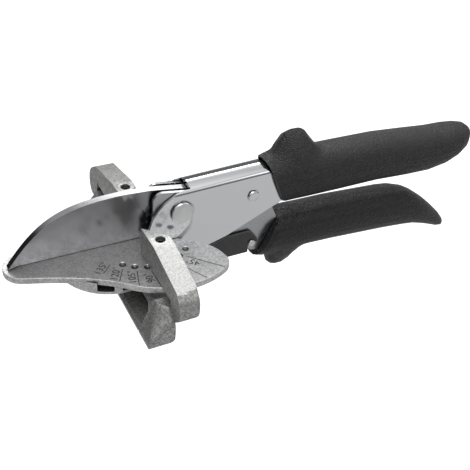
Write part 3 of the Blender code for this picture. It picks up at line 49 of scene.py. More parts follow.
def addNode(tree, kind, values=None, **settings):
    node = tree.nodes.new(kind)
    for name, value in settings.items():
        setattr(node, name, value)
    for name, value in (values or {}).items():
        socket = node.inputs[name]
        if isinstance(value, bpy.types.NodeSocket):
            tree.links.new(value, socket)
        else:
            socket.default_value = value
    return node


def addMath(tree, operation, first, second=None, clamp=False):
    values = {0: first} if second is None else {0: first, 1: second}
    return addNode(tree, "ShaderNodeMath", values, operation=operation, use_clamp=clamp).outputs[0]


def mixValue(tree, share, low, high):
    return addNode(tree, "ShaderNodeMix", {0: share, 2: low, 3: high}, data_type="FLOAT").outputs[0]


def mixColour(tree, share, low, high):
    low, high = (part if isinstance(part, bpy.types.NodeSocket) else (*part, 1.0) for part in (low, high))
    return addNode(tree, "ShaderNodeMix", {0: share, 6: low, 7: high}, data_type="RGBA").outputs[2]


def mapRange(tree, value, fromMin, fromMax, toMin=0.0, toMax=1.0):
    ends = {"Value": value, "From Min": fromMin, "From Max": fromMax, "To Min": toMin, "To Max": toMax}
    return addNode(tree, "ShaderNodeMapRange", ends).outputs[0]


def splitVector(tree, vector):
    return addNode(tree, "ShaderNodeSeparateXYZ", {"Vector": vector}).outputs


def addRamp(tree, factor, stops):
    node = addNode(tree, "ShaderNodeValToRGB", {"Fac": factor})
    ramp = node.color_ramp
    while len(ramp.elements) < len(stops):
        ramp.elements.new(0.5)
    for element, (place, shade) in zip(ramp.elements, stops):
        element.position = place
        element.color = (shade, shade, shade, 1.0) if isinstance(shade, float) else (*shade, 1.0)
    return node.outputs["Color"]


def newGroup(name, inputs, outputs):
    tree = bpy.data.node_groups.new(name, "ShaderNodeTree")
    for label, kind, value in inputs:
        socket = tree.interface.new_socket(name=label, in_out="INPUT", socket_type=kind)
        if value is not None:
            socket.default_value = value
    for label in outputs:
        tree.interface.new_socket(name=label, in_out="OUTPUT", socket_type="NodeSocketFloat")
    return tree, tree.nodes.new("NodeGroupInput"), tree.nodes.new("NodeGroupOutput")


# shared effects

grainParts = {
    "fineDetail": 3.0,
    "fineRough": 0.6,
    "wideScale": 0.16,       # share of the fine grain's scale
    "wideDetail": 4.0,
    "wideRough": 0.55,
    "wideShare": 0.35,
    "pitScale": 0.8,
    "pitSmooth": 0.5,
}


def buildGrainGroup():
    # fine and wide noise with specks and pits: shade for colour, height for bump
    tree, source, result = newGroup(
        "surfaceGrain",
        [
            ("Vector", "NodeSocketVector", None),
            ("Scale", "NodeSocketFloat", 1200.0),
            ("Pits", "NodeSocketFloat", 0.3),
            ("Specks", "NodeSocketFloat", 0.0),
        ],
        ["Shade", "Height"],
    )
    parts = grainParts
    where, scale = source.outputs["Vector"], source.outputs["Scale"]
    fine = addNode(
        tree,
        "ShaderNodeTexNoise",
        {"Vector": where, "Scale": scale, "Detail": parts["fineDetail"], "Roughness": parts["fineRough"]},
    )
    wideScale = addMath(tree, "MULTIPLY", scale, parts["wideScale"])
    wide = addNode(
        tree,
        "ShaderNodeTexNoise",
        {"Vector": where, "Scale": wideScale, "Detail": parts["wideDetail"], "Roughness": parts["wideRough"]},
    )
    pitScale = addMath(tree, "MULTIPLY", scale, parts["pitScale"])
    pits = addNode(
        tree,
        "ShaderNodeTexVoronoi",
        {"Vector": where, "Scale": pitScale, "Smoothness": parts["pitSmooth"], "Randomness": 1.0},
        feature="SMOOTH_F1",
    )
    noise = mixValue(tree, parts["wideShare"], fine.outputs["Fac"], wide.outputs["Fac"])
    each = addNode(tree, "ShaderNodeSeparateColor", {"Color": pits.outputs["Color"]}).outputs["Red"]
    both = mixValue(tree, source.outputs["Specks"], noise, each)
    deep = addMath(tree, "MULTIPLY", pits.outputs["Distance"], source.outputs["Pits"])
    tree.links.new(both, result.inputs["Shade"])
    tree.links.new(addMath(tree, "SUBTRACT", both, deep), result.inputs["Height"])
    return tree


lineParts = {
    "detail": 4.0,
    "rough": 0.7,
    "wideScale": 0.12,       # share of the lines' scale
    "wideDetail": 2.0,
}


def buildLinesGroup():
    # long fine lines, stretched by the vector that comes in
    tree, source, result = newGroup(
        "grindingLines",
        [
            ("Vector", "NodeSocketVector", None),
            ("Scale", "NodeSocketFloat", 900.0),
            ("Blotches", "NodeSocketFloat", 0.3),
        ],
        ["Shade"],
    )
    where, scale = source.outputs["Vector"], source.outputs["Scale"]
    lines = addNode(
        tree,
        "ShaderNodeTexNoise",
        {"Vector": where, "Scale": scale, "Detail": lineParts["detail"], "Roughness": lineParts["rough"]},
    )
    wideScale = addMath(tree, "MULTIPLY", scale, lineParts["wideScale"])
    wide = addNode(
        tree, "ShaderNodeTexNoise", {"Vector": where, "Scale": wideScale, "Detail": lineParts["wideDetail"]}
    )
    mixed = mixValue(tree, source.outputs["Blotches"], lines.outputs["Fac"], wide.outputs["Fac"])
    tree.links.new(mixed, result.inputs["Shade"])
    return tree


wearAndShadeParts = {
    "samples": 6,
    "edge": (0.995, 0.90),   # how alike the plain and the rounded normal are
    "corner": (0.92, 0.5),   # how open the spot is
}


def buildWearAndShadeGroup():
    # rubbed edges, where the surface turns within the width, and painted shade in corners, where ambient occlusion
    # finds the spot closed in
    tree, source, result = newGroup(
        "edgeWearAndCornerShade",
        [("Width", "NodeSocketFloat", 0.0004), ("Depth", "NodeSocketFloat", 0.002)],
        ["Edges", "CornerShade"],
    )
    samples = wearAndShadeParts["samples"]
    flat = addNode(tree, "ShaderNodeNewGeometry").outputs["Normal"]
    turned = addNode(tree, "ShaderNodeBevel", {"Radius": source.outputs["Width"]}, samples=samples).outputs["Normal"]
    alike = addNode(tree, "ShaderNodeVectorMath", {0: flat, 1: turned}, operation="DOT_PRODUCT").outputs["Value"]
    edges = mapRange(tree, alike, *wearAndShadeParts["edge"])
    # painted shade: ambient occlusion darkens corners and the gaps between parts
    shut = addNode(
        tree, "ShaderNodeAmbientOcclusion", {"Distance": source.outputs["Depth"]}, samples=samples, only_local=True
    ).outputs["AO"]
    corners = mapRange(tree, shut, *wearAndShadeParts["corner"])
    clear = addMath(tree, "SUBTRACT", 1.0, corners)
    tree.links.new(addMath(tree, "MULTIPLY", edges, clear), result.inputs["Edges"])
    tree.links.new(corners, result.inputs["CornerShade"])
    return tree


topLean = (0.78, 0.92)  # how far up a face looks, from none of the mask to all of it


def buildLitGroundTopGroup():
    # a mask for faces that look up, above a level and on the near side: where the near arm's top gets its painted
    # highlight
    tree, source, result = newGroup(
        "litGroundTop",
        [("Level", "NodeSocketFloat", 0.0), ("Side", "NodeSocketFloat", 0.0), ("Fade", "NodeSocketFloat", 0.002)],
        ["Mask"],
    )
    spot = addNode(tree, "ShaderNodeTexCoord")
    lean = splitVector(tree, spot.outputs["Normal"])["Z"]
    place = splitVector(tree, spot.outputs["Object"])
    above = addMath(tree, "SUBTRACT", place["Z"], source.outputs["Level"])
    beside = addMath(tree, "LESS_THAN", place["Y"], source.outputs["Side"])
    faded = addMath(tree, "DIVIDE", above, source.outputs["Fade"], clamp=True)
    both = addMath(tree, "MULTIPLY", faded, mapRange(tree, lean, *topLean))
    tree.links.new(addMath(tree, "MULTIPLY", both, beside), result.inputs["Mask"])
    return tree


grainGroup = buildGrainGroup()
linesGroup = buildLinesGroup()
wearAndShadeGroup = buildWearAndShadeGroup()
litGroundTopGroup = buildLitGroundTopGroup()


# materials

def placeGroup(tree, group, values):
    node = tree.nodes.new("ShaderNodeGroup")
    node.node_tree = group
    for name, value in values.items():
        if isinstance(value, bpy.types.NodeSocket):
            tree.links.new(value, node.inputs[name])
        else:
            node.inputs[name].default_value = value
    return node.outputs


def newMaterial(name, shown):
    material = bpy.data.materials.new(name)
    material.use_nodes = True
    material.diffuse_color = (*shown, 1.0)
    tree = material.node_tree
    return material, tree, tree.nodes["Principled BSDF"]


def objectSpot(tree, stretch=(1.0, 1.0, 1.0)):
    spot = addNode(tree, "ShaderNodeTexCoord").outputs["Object"]
    return addNode(tree, "ShaderNodeMapping", {"Vector": spot, "Scale": stretch}).outputs["Vector"]


def faceLean(tree):
    # 1 where a face looks straight up
    return splitVector(tree, addNode(tree, "ShaderNodeTexCoord").outputs["Normal"])["Z"]


def placeGrain(tree, spot, look):
    return placeGroup(
        tree,
        grainGroup,
        {"Vector": spot, "Scale": look["grain"], "Pits": look["pits"], "Specks": look["specks"]},
    )


def grainRough(tree, shade, look):
    # pale grains are smoother than dark ones
    low, high = look["rough"]
    return mapRange(tree, shade, 0.35, 0.65, high, low)


def linkSurface(tree, shader, colour, rough, bumps):
    tree.links.new(colour, shader.inputs["Base Color"])
    tree.links.new(rough, shader.inputs["Roughness"])
    tree.links.new(addNode(tree, "ShaderNodeBump", bumps).outputs["Normal"], shader.inputs["Normal"])


def shadedHollows(tree, spot, look, colour):
    # painted shade in the dimples: the faces that look up from under the table's face are darkened
    sunk = addMath(tree, "LESS_THAN", splitVector(tree, spot)["Z"], look["hollowLevel"])
    up = addMath(tree, "GREATER_THAN", faceLean(tree), look["hollowLean"])
    return mixColour(tree, addMath(tree, "MULTIPLY", sunk, up), colour, look["paintedShade"])


def blendedNormal(tree, spot, look):
    # the block under each arm runs from one face into the next without a crease
    place = splitVector(tree, spot)
    under = addMath(tree, "LESS_THAN", place["Z"], look["blendLevel"])
    outer = addMath(tree, "GREATER_THAN", addMath(tree, "ABSOLUTE", place["Y"]), look["blendReach"])
    share = addMath(tree, "MULTIPLY", under, outer)
    soft = addNode(tree, "ShaderNodeBevel", {"Radius": look["blend"]}, samples=8).outputs["Normal"]
    plain = addNode(tree, "ShaderNodeNewGeometry").outputs["Normal"]
    return addNode(tree, "ShaderNodeMix", {0: share, 4: plain, 5: soft}, data_type="VECTOR").outputs[1]


def castMetal(name, look):
    # blasted casting: speckled grey, rubbed bright along the edges, a painted highlight over the grinding on the
    # near arm's top, and painted shade in its corners and in the table's dimples
    material, tree, shader = newMaterial(name, look["light"])
    spot = objectSpot(tree)
    grain = placeGrain(tree, spot, look)
    cloud = placeGroup(tree, grainGroup, {"Vector": spot, "Scale": look["cloud"], "Pits": 0.0})
    wear = placeGroup(tree, wearAndShadeGroup, {"Width": look["wear"], "Depth": look["cornerShadeDepth"]})
    top = placeGroup(tree, litGroundTopGroup, {"Level": look["litGroundLevel"], "Fade": look["litGroundFade"]})
    shade = mixValue(tree, look["cloudShare"], grain["Shade"], cloud["Shade"])
    colour = addRamp(tree, shade, [(0.38, look["dark"]), (0.62, look["light"])])
    # painted highlight: the near arm's up-facing top is painted bright over its grinding
    litGround = addRamp(tree, grain["Shade"], [(0.36, look["litGroundDark"]), (0.64, look["litGroundLight"])])
    colour = mixColour(tree, top["Mask"], colour, litGround)
    colour = mixColour(tree, wear["Edges"], colour, look["rubbed"])
    # painted shade: corners darkened through ambient occlusion
    colour = mixColour(tree, wear["CornerShade"], colour, look["paintedShade"])
    if look["hollowLevel"]:
        colour = shadedHollows(tree, spot, look, colour)
    bumps = {"Height": grain["Height"], "Strength": look["bump"], "Distance": look["bumpDepth"]}
    if look["blend"]:
        bumps["Normal"] = blendedNormal(tree, spot, look)
    linkSurface(tree, shader, colour, grainRough(tree, shade, look), bumps)
    shader.inputs["Metallic"].default_value = look["metal"]
    return material


def domedNormal(tree, look):
    # the bent roof is a little domed across, so it mirrors a sweep of the room
    facing = addNode(tree, "ShaderNodeNewGeometry").outputs["Normal"]
    up = addMath(tree, "GREATER_THAN", splitVector(tree, facing)["Z"], look["crownLean"])
    tilt = addMath(tree, "MULTIPLY", splitVector(tree, objectSpot(tree))["Y"], look["crown"])
    side = addNode(tree, "ShaderNodeCombineXYZ", {"Y": addMath(tree, "MULTIPLY", tilt, up)}).outputs[0]
    leaned = addNode(tree, "ShaderNodeVectorMath", {0: facing, 1: side}, operation="ADD").outputs[0]
    return addNode(tree, "ShaderNodeVectorMath", {0: leaned}, operation="NORMALIZE").outputs[0]


def sheetMetal(name, look):
    # plated or polished sheet and turned steel, with faint smears and painted shade in the creases
    material, tree, shader = newMaterial(name, look["colour"])
    smear = placeGroup(
        tree,
        linesGroup,
        {"Vector": objectSpot(tree, look["stretch"]), "Scale": look["scale"], "Blotches": look["blotches"]},
    )["Shade"]
    rough = mapRange(tree, smear, 0.35, 0.7, *look["rough"])
    shade = tuple(part * look["shade"] for part in look["colour"])
    colour = addRamp(tree, smear, [(0.3, shade), (0.62, look["colour"])])
    # painted shade: ambient occlusion darkens creases and the contact lines between parts
    shut = addNode(tree, "ShaderNodeAmbientOcclusion", {"Distance": look["creaseDepth"]}, samples=8).outputs["AO"]
    colour = mixColour(tree, mapRange(tree, shut, 0.85, 0.35), colour, look["crease"])
    bumps = {"Height": smear, "Strength": look["bump"], "Distance": look["bumpDepth"]}
    if look["crown"]:
        bumps["Normal"] = domedNormal(tree, look)
    linkSurface(tree, shader, colour, rough, bumps)
    shader.inputs["Metallic"].default_value = 1.0
    return material


def mouldedPlastic(name, look):
    # black moulding with a pebbled skin, painted lighter on top where the light falls, and a little greyer along its
    # edges
    material, tree, shader = newMaterial(name, look["colour"])
    grain = placeGrain(tree, objectSpot(tree), look)
    wear = placeGroup(tree, wearAndShadeGroup, {"Width": look["wear"], "Depth": look["cornerShadeDepth"]})
    colour = addRamp(tree, grain["Shade"], [(0.38, look["colour"]), (0.64, look["rubbed"])])
    # painted light: faces that look up are painted lighter, the undersides stay darker
    colour = mixColour(tree, mapRange(tree, faceLean(tree), look["paintedTopLightStart"], 1.0), colour, look["paintedTopLight"])
    colour = mixColour(tree, wear["Edges"], colour, look["edge"])
    bumps = {"Height": grain["Height"], "Strength": look["bump"], "Distance": look["bumpDepth"]}
    linkSurface(tree, shader, colour, grainRough(tree, grain["Shade"], look), bumps)
    return material


castLook = {
    "dark": (0.30, 0.30, 0.30),
    "light": (0.56, 0.56, 0.55),
    # painted highlight on the near arm's top, over its grinding
    "litGroundDark": (0.66, 0.66, 0.65),
    "litGroundLight": (0.95, 0.95, 0.94),
    "rubbed": (0.66, 0.66, 0.65),
    # colour of the painted shade in corners and dimples
    "paintedShade": (0.04, 0.04, 0.04),
    "hollowLevel": 0.0,      # 0 for no painted shade in the hollows
    "hollowLean": 0.3,
    "litGroundLevel": tableTop + 7.0 * mm,
    "litGroundFade": 0.5 * mm,
    "grain": 2200.0,
    "cloud": 260.0,
    "cloudShare": 0.15,
    "blend": 3.5 * mm,       # 0 for no blending of creases
    "blendLevel": tableTop - 4.5 * mm,
    "blendReach": 36.0 * mm,
    "wear": 0.45 * mm,
    "cornerShadeDepth": 2.0 * mm,
    "pits": 0.4,
    "specks": 0.35,
    "rough": (0.36, 0.56),
    "bump": 0.45,
    "bumpDepth": 0.2 * mm,
    "metal": 0.9,
}
tableLook = dict(
    castLook,
    dark=(0.48, 0.48, 0.48),
    light=(0.80, 0.80, 0.80),
    rubbed=(0.78, 0.78, 0.78),
    paintedShade=(0.12, 0.12, 0.12),
    blend=0.0,
    hollowLevel=tableTop - 0.2 * mm,
    litGroundLevel=1.0,  # above everything: the table gets no painted highlight on top
    grain=2100.0,
    cloudShare=0.35,
    cloud=160.0,
    rough=(0.30, 0.48),
    bump=0.35,
)
plateLook = {
    "colour": (0.85, 0.86, 0.88),
    "shade": 0.97,
    "crown": 17.0,           # lean of the roof's normal for each metre off the middle, 0 for none
    "crownLean": 0.9,
    "creaseDepth": 2.0 * mm,
    # colour of the painted shade in creases
    "crease": (0.05, 0.05, 0.05),
    "stretch": (1.0, 1.0, 1.0),
    "scale": 60.0,
    "blotches": 0.6,
    "rough": (0.11, 0.16),
    "bump": 0.01,
    "bumpDepth": 0.1 * mm,
}
satinLook = dict(
    plateLook,
    colour=(0.48, 0.49, 0.50),
    shade=0.93,
    creaseDepth=1.2 * mm,
    stretch=(0.06, 1.0, 1.0),
    scale=900.0,
    rough=(0.22, 0.34),
    bump=0.06,
)
bladeLook = dict(
    plateLook,
    colour=(0.33, 0.33, 0.34),
    shade=0.88,
    crown=0.0,
    creaseDepth=1.2 * mm,
    stretch=(1.0, 1.0, 0.04),
    scale=1300.0,
    rough=(0.16, 0.26),
    bump=0.05,
)
brightLook = dict(
    plateLook,
    colour=(0.74, 0.74, 0.75),
    shade=0.94,
    crown=0.0,
    creaseDepth=1.2 * mm,
    scale=400.0,
    rough=(0.14, 0.24),
    bump=0.03,
)
springLook = dict(
    plateLook,
    colour=(0.16, 0.16, 0.17),
    shade=0.80,
    crown=0.0,
    creaseDepth=1.2 * mm,
    scale=700.0,
    rough=(0.24, 0.38),
    bump=0.05,
)
gripLook = {
    "colour": (0.003, 0.003, 0.004),
    "rubbed": (0.014, 0.014, 0.015),
    # colour of the painted light on faces that look up
    "paintedTopLight": (0.050, 0.050, 0.051),
    "paintedTopLightStart": 0.0,
    "edge": (0.060, 0.060, 0.061),
    "wear": 0.4 * mm,
    "cornerShadeDepth": 2.0 * mm,
    "grain": 1500.0,
    "pits": 0.9,
    "specks": 0.35,
    "rough": (0.29, 0.44),
    "bump": 1.0,
    "bumpDepth": 0.5 * mm,
}
# painted shade: the lower grip is a darker copy of the same moulding, painted lighter only on its steepest tops
shadedLowerGripLook = dict(gripLook, colour=(0.002, 0.002, 0.002), rubbed=(0.006, 0.006, 0.006), paintedTopLightStart=0.8)
catchLook = {
    "colour": (0.024, 0.024, 0.025),
    "rubbed": (0.045, 0.045, 0.046),
    # colour of the painted light on faces that look up
    "paintedTopLight": (0.070, 0.070, 0.071),
    "paintedTopLightStart": 0.0,
    "edge": (0.130, 0.130, 0.132),
    "wear": 0.5 * mm,
    "cornerShadeDepth": 2.0 * mm,
    "grain": 900.0,
    "pits": 0.1,
    "specks": 0.0,
    "rough": (0.22, 0.34),
    "bump": 0.12,
    "bumpDepth": 0.3 * mm,
}

castAlloy = castMetal("castAlloy", castLook)
tableAlloy = castMetal("tableAlloy", tableLook)
platedSheet = sheetMetal("platedSheet", plateLook)
satinSheet = sheetMetal("satinSheet", satinLook)
groundBlade = sheetMetal("groundBlade", bladeLook)
brightSteel = sheetMetal("brightSteel", brightLook)
springSteel = sheetMetal("springSteel", springLook)
gripBlack = mouldedPlastic("gripBlack", gripLook)
shadedLowerGripBlack = mouldedPlastic("shadedLowerGripBlack", shadedLowerGripLook)
catchBlack = mouldedPlastic("catchBlack", catchLook)
print("materials made:", len(bpy.data.materials))


# finishes for the nodes: material, rounding of the edges in mm, angle in degrees that counts as an edge

nodeFinishes = {
    "anvil_table": (tableAlloy, 0.15, 40),
    "upper_channel": (platedSheet, 0.12, 50),
    "upper_grip": (gripBlack, 0.3, 60),
    "anvil_rivet_front": (brightSteel, 0.0, 50),
    "anvil_rivet_rear": (brightSteel, 0.0, 50),
    "pivot_stud": (brightSteel, 0.1, 50),
    "pivot_cap": (platedSheet, 0.1, 50),
    "spring_rivet": (platedSheet, 0.1, 50),
    "return_spring": (springSteel, 0.0, 60),
    "fence_screw": (brightSteel, 0.1, 50),
    "fence_washer": (brightSteel, 0.1, 50),
    "lower_channel": (satinSheet, 0.12, 50),
    "lower_grip": (shadedLowerGripBlack, 0.3, 60),
    "blade": (groundBlade, 0.06, 50),
    "blade_rivet_upper": (brightSteel, 0.0, 50),
    "blade_rivet_lower": (brightSteel, 0.0, 50),
    "pivot_bush": (brightSteel, 0.0, 50),
    "pivot_washer_near": (brightSteel, 0.0, 50),
    "pivot_washer_far": (brightSteel, 0.0, 50),
    "catch_pin": (brightSteel, 0.1, 50),
    "fence_carriage": (castAlloy, 0.3, 38),
    "detent_screw_front": (springSteel, 0.1, 50),
    "detent_screw_rear": (springSteel, 0.1, 50),
    "detent_spring_front": (springSteel, 0.0, 60),
    "detent_spring_rear": (springSteel, 0.0, 60),
    "detent_ball_front": (brightSteel, 0.0, 60),
    "detent_ball_rear": (brightSteel, 0.0, 60),
    "catch_lever": (catchBlack, 0.25, 40),
}
meshCare = {
    "weld": 0.002 * mm,
    "flat": 0.4,             # degrees within which faces count as one
    "segments": 2,
    "level": 100,
}


def dressNode(name, material, rounding, sharpAngle):
    # the loose triangles are welded and merged flat, then the edges are rounded
    node = nodes[name]
    node.data.materials.clear()
    node.data.materials.append(material)
    node.data.shade_smooth()
    weld = node.modifiers.new("weld", "WELD")
    weld.merge_threshold = meshCare["weld"]
    flat = node.modifiers.new("flat", "DECIMATE")
    flat.decimate_type = "DISSOLVE"
    flat.angle_limit = math.radians(meshCare["flat"])
    if rounding:
        edge = node.modifiers.new("edge", "BEVEL")
        edge.width = rounding * mm
        edge.segments = meshCare["segments"]
        edge.limit_method = "ANGLE"
        edge.angle_limit = math.radians(sharpAngle)
        edge.miter_outer = "MITER_ARC"
        level = node.modifiers.new("level", "WEIGHTED_NORMAL")
        level.weight = meshCare["level"]
    else:
        split = node.modifiers.new("split", "EDGE_SPLIT")
        split.split_angle = math.radians(sharpAngle)


for name, (material, rounding, sharpAngle) in nodeFinishes.items():
    dressNode(name, material, rounding, sharpAngle)
print("nodes dressed:", len(nodeFinishes))


# table marks: a line for each angle of the fence, with its number standing on the line, and a painted shadow line
# along the blade's foot

marks = {
    "angles": (45, 60, 75, 90, 105, 120, 135),
    "faceOffset": 5.0,       # the fence's face passes this far from the swivel axis
    "lineStart": 24.0,
    "lineWide": 0.36,
    "rimInset": 0.5,
    "discCentre": 8.5,
    "discRadius": 39.0,
    "numberHigh": 3.5,
    "numberGap": 1.0,
    "numberStart": 31.4,
    "numberLong": 8.2,       # the far numbers read outwards, so they start this much nearer
    "shadowLineStart": 2.0,         # painted shadow line along the blade's foot, from its tip to the heel
    "shadowLineEnd": -1.0,
    "shadowLineWide": 0.9,
    "shadowLineAside": 0.15,
    "sunk": 0.05,
    "proud": 0.02,
    "ink": (0.02, 0.06),
    "inkGrain": 2500.0,
    "inkRough": 0.6,
    "inkMetal": 0.6,
}


def inkMaterial():
    material, tree, shader = newMaterial("markInk", (0.08, 0.08, 0.08))
    grain = placeGroup(tree, grainGroup, {"Vector": objectSpot(tree), "Scale": marks["inkGrain"], "Pits": 0.2})
    dark, pale = marks["ink"]
    tree.links.new(addRamp(tree, grain["Shade"], [(0.3, dark), (0.7, pale)]), shader.inputs["Base Color"])
    shader.inputs["Roughness"].default_value = marks["inkRough"]
    shader.inputs["Metallic"].default_value = marks["inkMetal"]
    return material


def fenceDirections(angle, side):
    # on the table, outward along the arm, and from the arm's face towards the nose
    turn = math.radians(90 - angle)
    face = Vector((-math.cos(turn), -math.sin(turn), 0.0))
    out = Vector((-math.sin(turn), math.cos(turn), 0.0)) * side
    return out, face


def meshObject(name, body, material):
    mesh = bpy.data.meshes.new(name)
    body.to_mesh(mesh)
    body.free()
    mesh.materials.append(material)
    made = bpy.data.objects.new(name, mesh)
    bpy.context.scene.collection.objects.link(made)
    return made


def rimReach(out, face):
    # how far out along the line the disc's rim lies
    start = face * marks["faceOffset"] - Vector((marks["discCentre"], 0.0, 0.0))
    along = start.dot(out)
    return -along + math.sqrt(along * along - start.length_squared + marks["discRadius"] ** 2)


def strip(body, start, end, wide, low, high):
    along = (end - start).normalized()
    across = Vector((-along.y, along.x, 0.0))
    made = bmesh.ops.create_grid(body, x_segments=1, y_segments=1, size=0.5)
    axes = Matrix((along * (end - start).length, across * wide, Vector((0, 0, 1)))).transposed()
    place = Matrix.Translation((start + end) / 2 + Vector((0, 0, low))) @ axes.to_4x4()
    bmesh.ops.transform(body, matrix=place, verts=made["verts"])
    face = made["verts"][0].link_faces[0]
    raised = bmesh.ops.extrude_face_region(body, geom=[face])
    top = [v for v in raised["geom"] if isinstance(v, bmesh.types.BMVert)]
    bmesh.ops.translate(body, vec=(0, 0, high - low), verts=top)


def numberMesh(words, high, thick):
    curve = bpy.data.curves.new("number", "FONT")
    curve.body = words
    curve.extrude = thick / 2
    curve.size = 1.0
    holder = bpy.data.objects.new("number", curve)
    bpy.context.scene.collection.objects.link(holder)
    bpy.context.view_layer.update()
    seen = holder.evaluated_get(bpy.context.evaluated_depsgraph_get())
    mesh = bpy.data.meshes.new_from_object(seen)
    bpy.data.objects.remove(holder)
    left = min(v.co.x for v in mesh.vertices)
    low = min(v.co.y for v in mesh.vertices)
    size = high / (max(v.co.y for v in mesh.vertices) - low)
    mesh.transform(Matrix.Translation((-left, -low, 0.0)))
    mesh.transform(Matrix.Diagonal((size, size, 1.0, 1.0)))
    return mesh


def addMarks():
    ink = inkMaterial()
    body = bmesh.new()
    low, high = tableTop - marks["sunk"] * mm, tableTop + marks["proud"] * mm
    for side in (-1, 1):
        for angle in marks["angles"]:
            out, face = fenceDirections(angle, side)
            line = face * marks["faceOffset"]
            reach = rimReach(out, face) - marks["rimInset"]
            start, end = (line + out * marks["lineStart"]) * mm, (line + out * reach) * mm
            strip(body, start, end, marks["lineWide"] * mm, low, high)
            number = numberMesh(f"{angle}°", marks["numberHigh"] * mm, high - low)
            begin = marks["numberStart"] - (marks["numberLong"] if side > 0 else 0.0)
            at = (line + face * marks["numberGap"] + out * begin) * mm
            turn = Matrix((out * side, face, Vector((0, 0, 1)))).transposed().to_4x4()
            number.transform(Matrix.Translation(at + Vector((0, 0, (low + high) / 2))) @ turn)
            body.from_mesh(number)
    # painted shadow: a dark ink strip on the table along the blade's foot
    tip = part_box("blade")[0][0] + marks["shadowLineStart"] * mm
    heel = marks["shadowLineEnd"] * mm
    aside = marks["shadowLineAside"] * mm
    strip(body, Vector((tip, aside, 0)), Vector((heel, aside, 0)), marks["shadowLineWide"] * mm, low, high)
    bmesh.ops.recalc_face_normals(body, faces=body.faces)
    made = meshObject("table_marks_and_shadow_line", body, ink)
    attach(made, "anvil_frame")
    return made


addMarks()
print("table marks made")


# stage: floor, backdrop light and camera

stage = {
    "middle": Vector((0.05, 0.0, tableTop)),
    "floorDrop": 0.118,
    "floorSize": 6.0,
    "floorColour": (0.42, 0.42, 0.42),
    "floorGrain": 300.0,
    "floorShade": 0.985,
    "floorRough": 0.9,
    "floorInMetal": 0.18,
    "floorToCamera": 1.0,
    "worldLevel": 0.45,
    "roomStops": [(0.0, 0.12), (0.32, 0.20), (0.53, 0.85), (0.70, 0.75), (0.82, 0.50), (1.0, 0.95)],
    # name, place, size in metres, power
    "lamps": [
        ("keyLamp", (-0.10, -0.40, 0.95), (0.6, 0.6), 3.3),
        ("fillLamp", (0.75, -0.55, 0.47), (0.6, 0.6), 0.8),
        ("backLamp", (0.35, 0.8, 0.57), (0.8, 0.2), 2.4),
    ],
    # name, place, size in metres, shade
    "cards": [
        ("backCard", (0.45, 0.95, 0.28), (1.8, 0.56), 0.22),
        ("lowCard", (-0.25, 0.22, -0.09), (0.5, 0.5), 0.02),
    ],
}

view = {
    "azimuth": -29.85,
    "elevation": 37.59,
    "roll": -5.22,
    "distance": 0.3782,
    "focalPixels": 808.37,
    "imagePixels": 470.0,
    "originPixel": (142.08, 237.02),
    "sensor": 36.0,
    "nearest": 0.01,
}


def addFloor():
    body = bmesh.new()
    bmesh.ops.create_grid(body, x_segments=1, y_segments=1, size=stage["floorSize"] / 2)
    bmesh.ops.translate(body, vec=(0, 0, tableTop - stage["floorDrop"]), verts=body.verts)
    pale = stage["floorColour"]
    material, tree, shader = newMaterial("floorPaper", pale)
    shader.inputs["Roughness"].default_value = stage["floorRough"]
    grain = placeGroup(tree, grainGroup, {"Vector": objectSpot(tree), "Scale": stage["floorGrain"], "Pits": 0.1})
    shade = tuple(part * stage["floorShade"] for part in pale)
    tree.links.new(addRamp(tree, grain["Shade"], [(0.3, shade), (0.7, pale)]), shader.inputs["Base Color"])
    # the paper glows white for the camera and a little for mirrors
    path = addNode(tree, "ShaderNodeLightPath")
    shiny = addMath(tree, "MULTIPLY", path.outputs["Is Glossy Ray"], stage["floorInMetal"])
    direct = addMath(tree, "MULTIPLY", path.outputs["Is Camera Ray"], stage["floorToCamera"])
    shader.inputs["Emission Color"].default_value = (1.0, 1.0, 1.0, 1.0)
    tree.links.new(addMath(tree, "ADD", shiny, direct), shader.inputs["Emission Strength"])
    floor = meshObject("floor", body, material)


def addWorld():
    world = bpy.data.worlds.new("studio")
    bpy.context.scene.world = world
    world.use_nodes = True
    tree = world.node_tree
    path = addNode(tree, "ShaderNodeLightPath")
    height = splitVector(tree, addNode(tree, "ShaderNodeTexCoord").outputs["Generated"])["Z"]
    # the room that metal shows: dim low down, a bright band at half height, grey and then bright overhead
    room = addRamp(tree, height, stage["roomStops"])
    plain = mixColour(tree, path.outputs["Is Glossy Ray"], (stage["worldLevel"],) * 3, room)
    shown = mixColour(tree, path.outputs["Is Camera Ray"], plain, (1.0, 1.0, 1.0))
    tree.links.new(shown, tree.nodes["Background"].inputs["Color"])


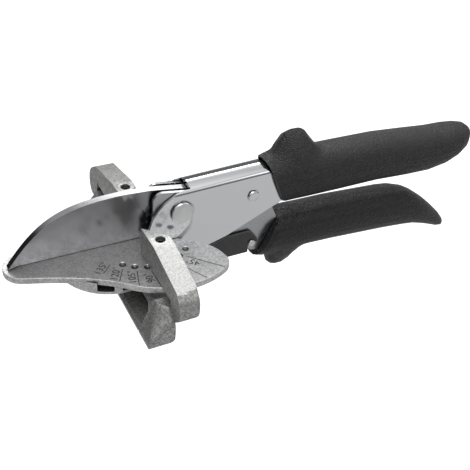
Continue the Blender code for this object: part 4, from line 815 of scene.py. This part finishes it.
def addLamp(name, place, size, power):
    lamp = bpy.data.lights.new(name, "AREA")
    lamp.shape = "RECTANGLE"
    lamp.size, lamp.size_y = size
    lamp.energy = power
    made = bpy.data.objects.new(name, lamp)
    bpy.context.scene.collection.objects.link(made)
    made.location = place
    made.rotation_euler = (stage["middle"] - Vector(place)).to_track_quat("-Z", "Y").to_euler()


def addCard(name, place, size, shade):
    # a card that only reflections see
    body = bmesh.new()
    bmesh.ops.create_grid(body, x_segments=1, y_segments=1, size=0.5)
    bmesh.ops.scale(body, vec=(size[0], size[1], 1.0), verts=body.verts)
    turn = (stage["middle"] - Vector(place)).to_track_quat("Z", "Y").to_matrix().to_4x4()
    bmesh.ops.transform(body, matrix=Matrix.Translation(place) @ turn, verts=body.verts)
    material, tree, shader = newMaterial(name, (shade, shade, shade))
    shader.inputs["Base Color"].default_value = (shade, shade, shade, 1.0)
    shader.inputs["Roughness"].default_value = 1.0
    card = meshObject(name, body, material)
    card.visible_camera = False
    card.visible_diffuse = False
    card.visible_shadow = False
    card.visible_transmission = False


def addCamera():
    turn, rise, roll = (math.radians(view[key]) for key in ("azimuth", "elevation", "roll"))
    back = Vector((math.sin(turn) * math.cos(rise), -math.cos(turn) * math.cos(rise), math.sin(rise)))
    right = Vector((math.cos(turn), math.sin(turn), 0.0))
    upward = back.cross(right)
    axes = Matrix((right, upward, back)).transposed() @ Matrix.Rotation(-roll, 3, "Z")
    perPixel = view["distance"] / view["focalPixels"]
    middle = view["imagePixels"] / 2
    aside = (view["originPixel"][0] - middle) * perPixel
    above = (middle - view["originPixel"][1]) * perPixel
    spot = back * view["distance"] - axes @ Vector((aside, above, 0.0)) + Vector((0.0, 0.0, tableTop))
    lens = bpy.data.cameras.new("camera")
    lens.sensor_width = view["sensor"]
    lens.lens = view["focalPixels"] / view["imagePixels"] * view["sensor"]
    lens.clip_start = view["nearest"]
    made = bpy.data.objects.new("camera", lens)
    bpy.context.scene.collection.objects.link(made)
    made.matrix_world = Matrix.Translation(spot) @ axes.to_4x4()
    bpy.context.scene.camera = made


addFloor()
addWorld()
for lamp in stage["lamps"]:
    addLamp(*lamp)
for card in stage["cards"]:
    addCard(*card)
addCamera()
bpy.context.scene.view_settings.view_transform = "Standard"
print("stage, lamps and camera made")
